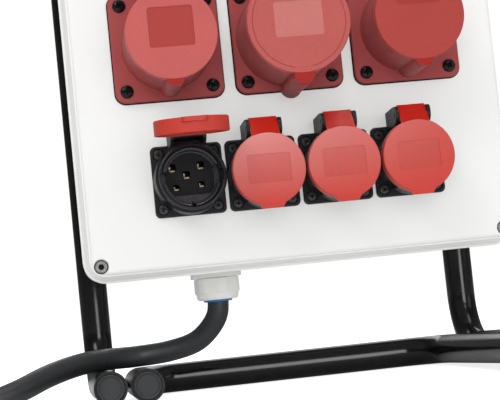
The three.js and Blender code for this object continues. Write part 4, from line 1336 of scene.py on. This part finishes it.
def build_world(scene):
    """White to the camera, dim in reflections, soft ambient light for the rest."""
    world = bpy.data.worlds.new("studio")
    scene.world = world
    graph = fresh_graph(world)
    output = graph.node("OutputWorld")
    rays = graph.node("LightPath").outputs
    seen = graph.node("Background", {"Color": (1, 1, 1, 1), "Strength": 1.05})
    ambient = graph.node("Background", {"Color": (0.97, 0.98, 1.0, 1), "Strength": 0.33})
    mirrored = graph.node("Background", {"Strength": 0.16})
    unseen = graph.node("MixShader", {"Fac": rays["Is Glossy Ray"], 1: ambient.outputs[0],
                                      2: mirrored.outputs[0]})
    whole = graph.node("MixShader", {"Fac": rays["Is Camera Ray"], 1: unseen.outputs[0],
                                     2: seen.outputs[0]})
    graph.feed(output.inputs["Surface"], whole.outputs[0])


scene = bpy.context.scene
build_floor()
build_world(scene)

# ------------------------------------------------------------------------------------------
# Lights (world metres, watts)
# ------------------------------------------------------------------------------------------
LIGHT_TARGET = Vector((0, -0.1, 0.1))
POLISHED = ("carrying_loop_tube", "floor_u_tube", "supply_lead")
GLOSSY_ENDINGS = ("_domestic_housing", "_domestic_carrier", "_industrial_screw_1",
                  "_industrial_screw_3")


def area_light(name, location, width, height, power):
    light = bpy.data.lights.new(name, "AREA")
    light.shape = "RECTANGLE"
    light.size, light.size_y = width, height
    light.energy = power
    light.spread = radians(180)
    lamp = bpy.data.objects.new(name, light)
    lamp.location = location
    lamp.rotation_mode = "QUATERNION"
    lamp.rotation_quaternion = (Vector(location) - LIGHT_TARGET).to_track_quat("Z", "Y")
    scene.collection.objects.link(lamp)
    return lamp


def reflect_only_in(lamp, name, pieces):
    """Limits a light to reflections in the given pieces."""
    lamp.visible_diffuse = False
    receivers = bpy.data.collections.new(name)
    for piece in pieces:
        receivers.objects.link(piece)
    lamp.light_linking.receiver_collection = receivers


area_light("key", (-1.3, -1.9, 1.8), width=1.0, height=1.0, power=14)
front = area_light("front", (-0.1, -2.7, 0.3), width=2.4, height=2.0, power=32.5)
front.visible_glossy = False
area_light("fill", (1.9, -1.4, 0.7), width=1.0, height=1.2, power=3)
area_light("top", (0.0, -0.4, 2.3), width=1.8, height=1.4, power=16)
area_light("back", (0.3, 1.9, 1.2), width=1.4, height=1.4, power=10)
strip = area_light("strip", (0.42, -2.1, 0.34), width=0.75, height=1.05, power=13)
reflect_only_in(strip, "polished", [bpy.data.objects[name] for name in POLISHED])
line = area_light("line", (0.15, -2.1, 1.45), width=0.95, height=0.22, power=6)
reflect_only_in(line, "glossy", [piece for piece in PIECES.objects if piece.name in POLISHED
                                 or piece.name.endswith(GLOSSY_ENDINGS)])

# ------------------------------------------------------------------------------------------
# Camera
# ------------------------------------------------------------------------------------------
CAMERA_AT = (-178.574, -82.183, 1028.254)  # panel millimetres
# rows: the camera's right, up and backward directions in panel axes
CAMERA_AXES = Matrix(((0.9863089698, -0.1015187667, 0.1299559775),
                      (0.0923103585, 0.9928990029, 0.0750357767),
                      (-0.1366506997, -0.0620121768, 0.9886764264)))
PANEL_AXES = Matrix(((1, 0, 0), (0, 0, -1), (0, 1, 0)))  # panel directions to world directions

camera_data = bpy.data.cameras.new("camera")
camera = bpy.data.objects.new("camera", camera_data)
scene.collection.objects.link(camera)
camera_data.sensor_fit = "HORIZONTAL"
camera_data.sensor_width = 36.0
camera_data.lens = 107.3895408
camera.matrix_world = (Matrix.Translation(PANEL_TO_WORLD @ Vector(CAMERA_AT))
                       @ (PANEL_AXES @ CAMERA_AXES.transposed()).to_4x4())
camera_data.clip_start, camera_data.clip_end = 0.05, 100
scene.camera = camera
scene.view_settings.view_transform = "Standard"
scene.view_settings.look = "None"
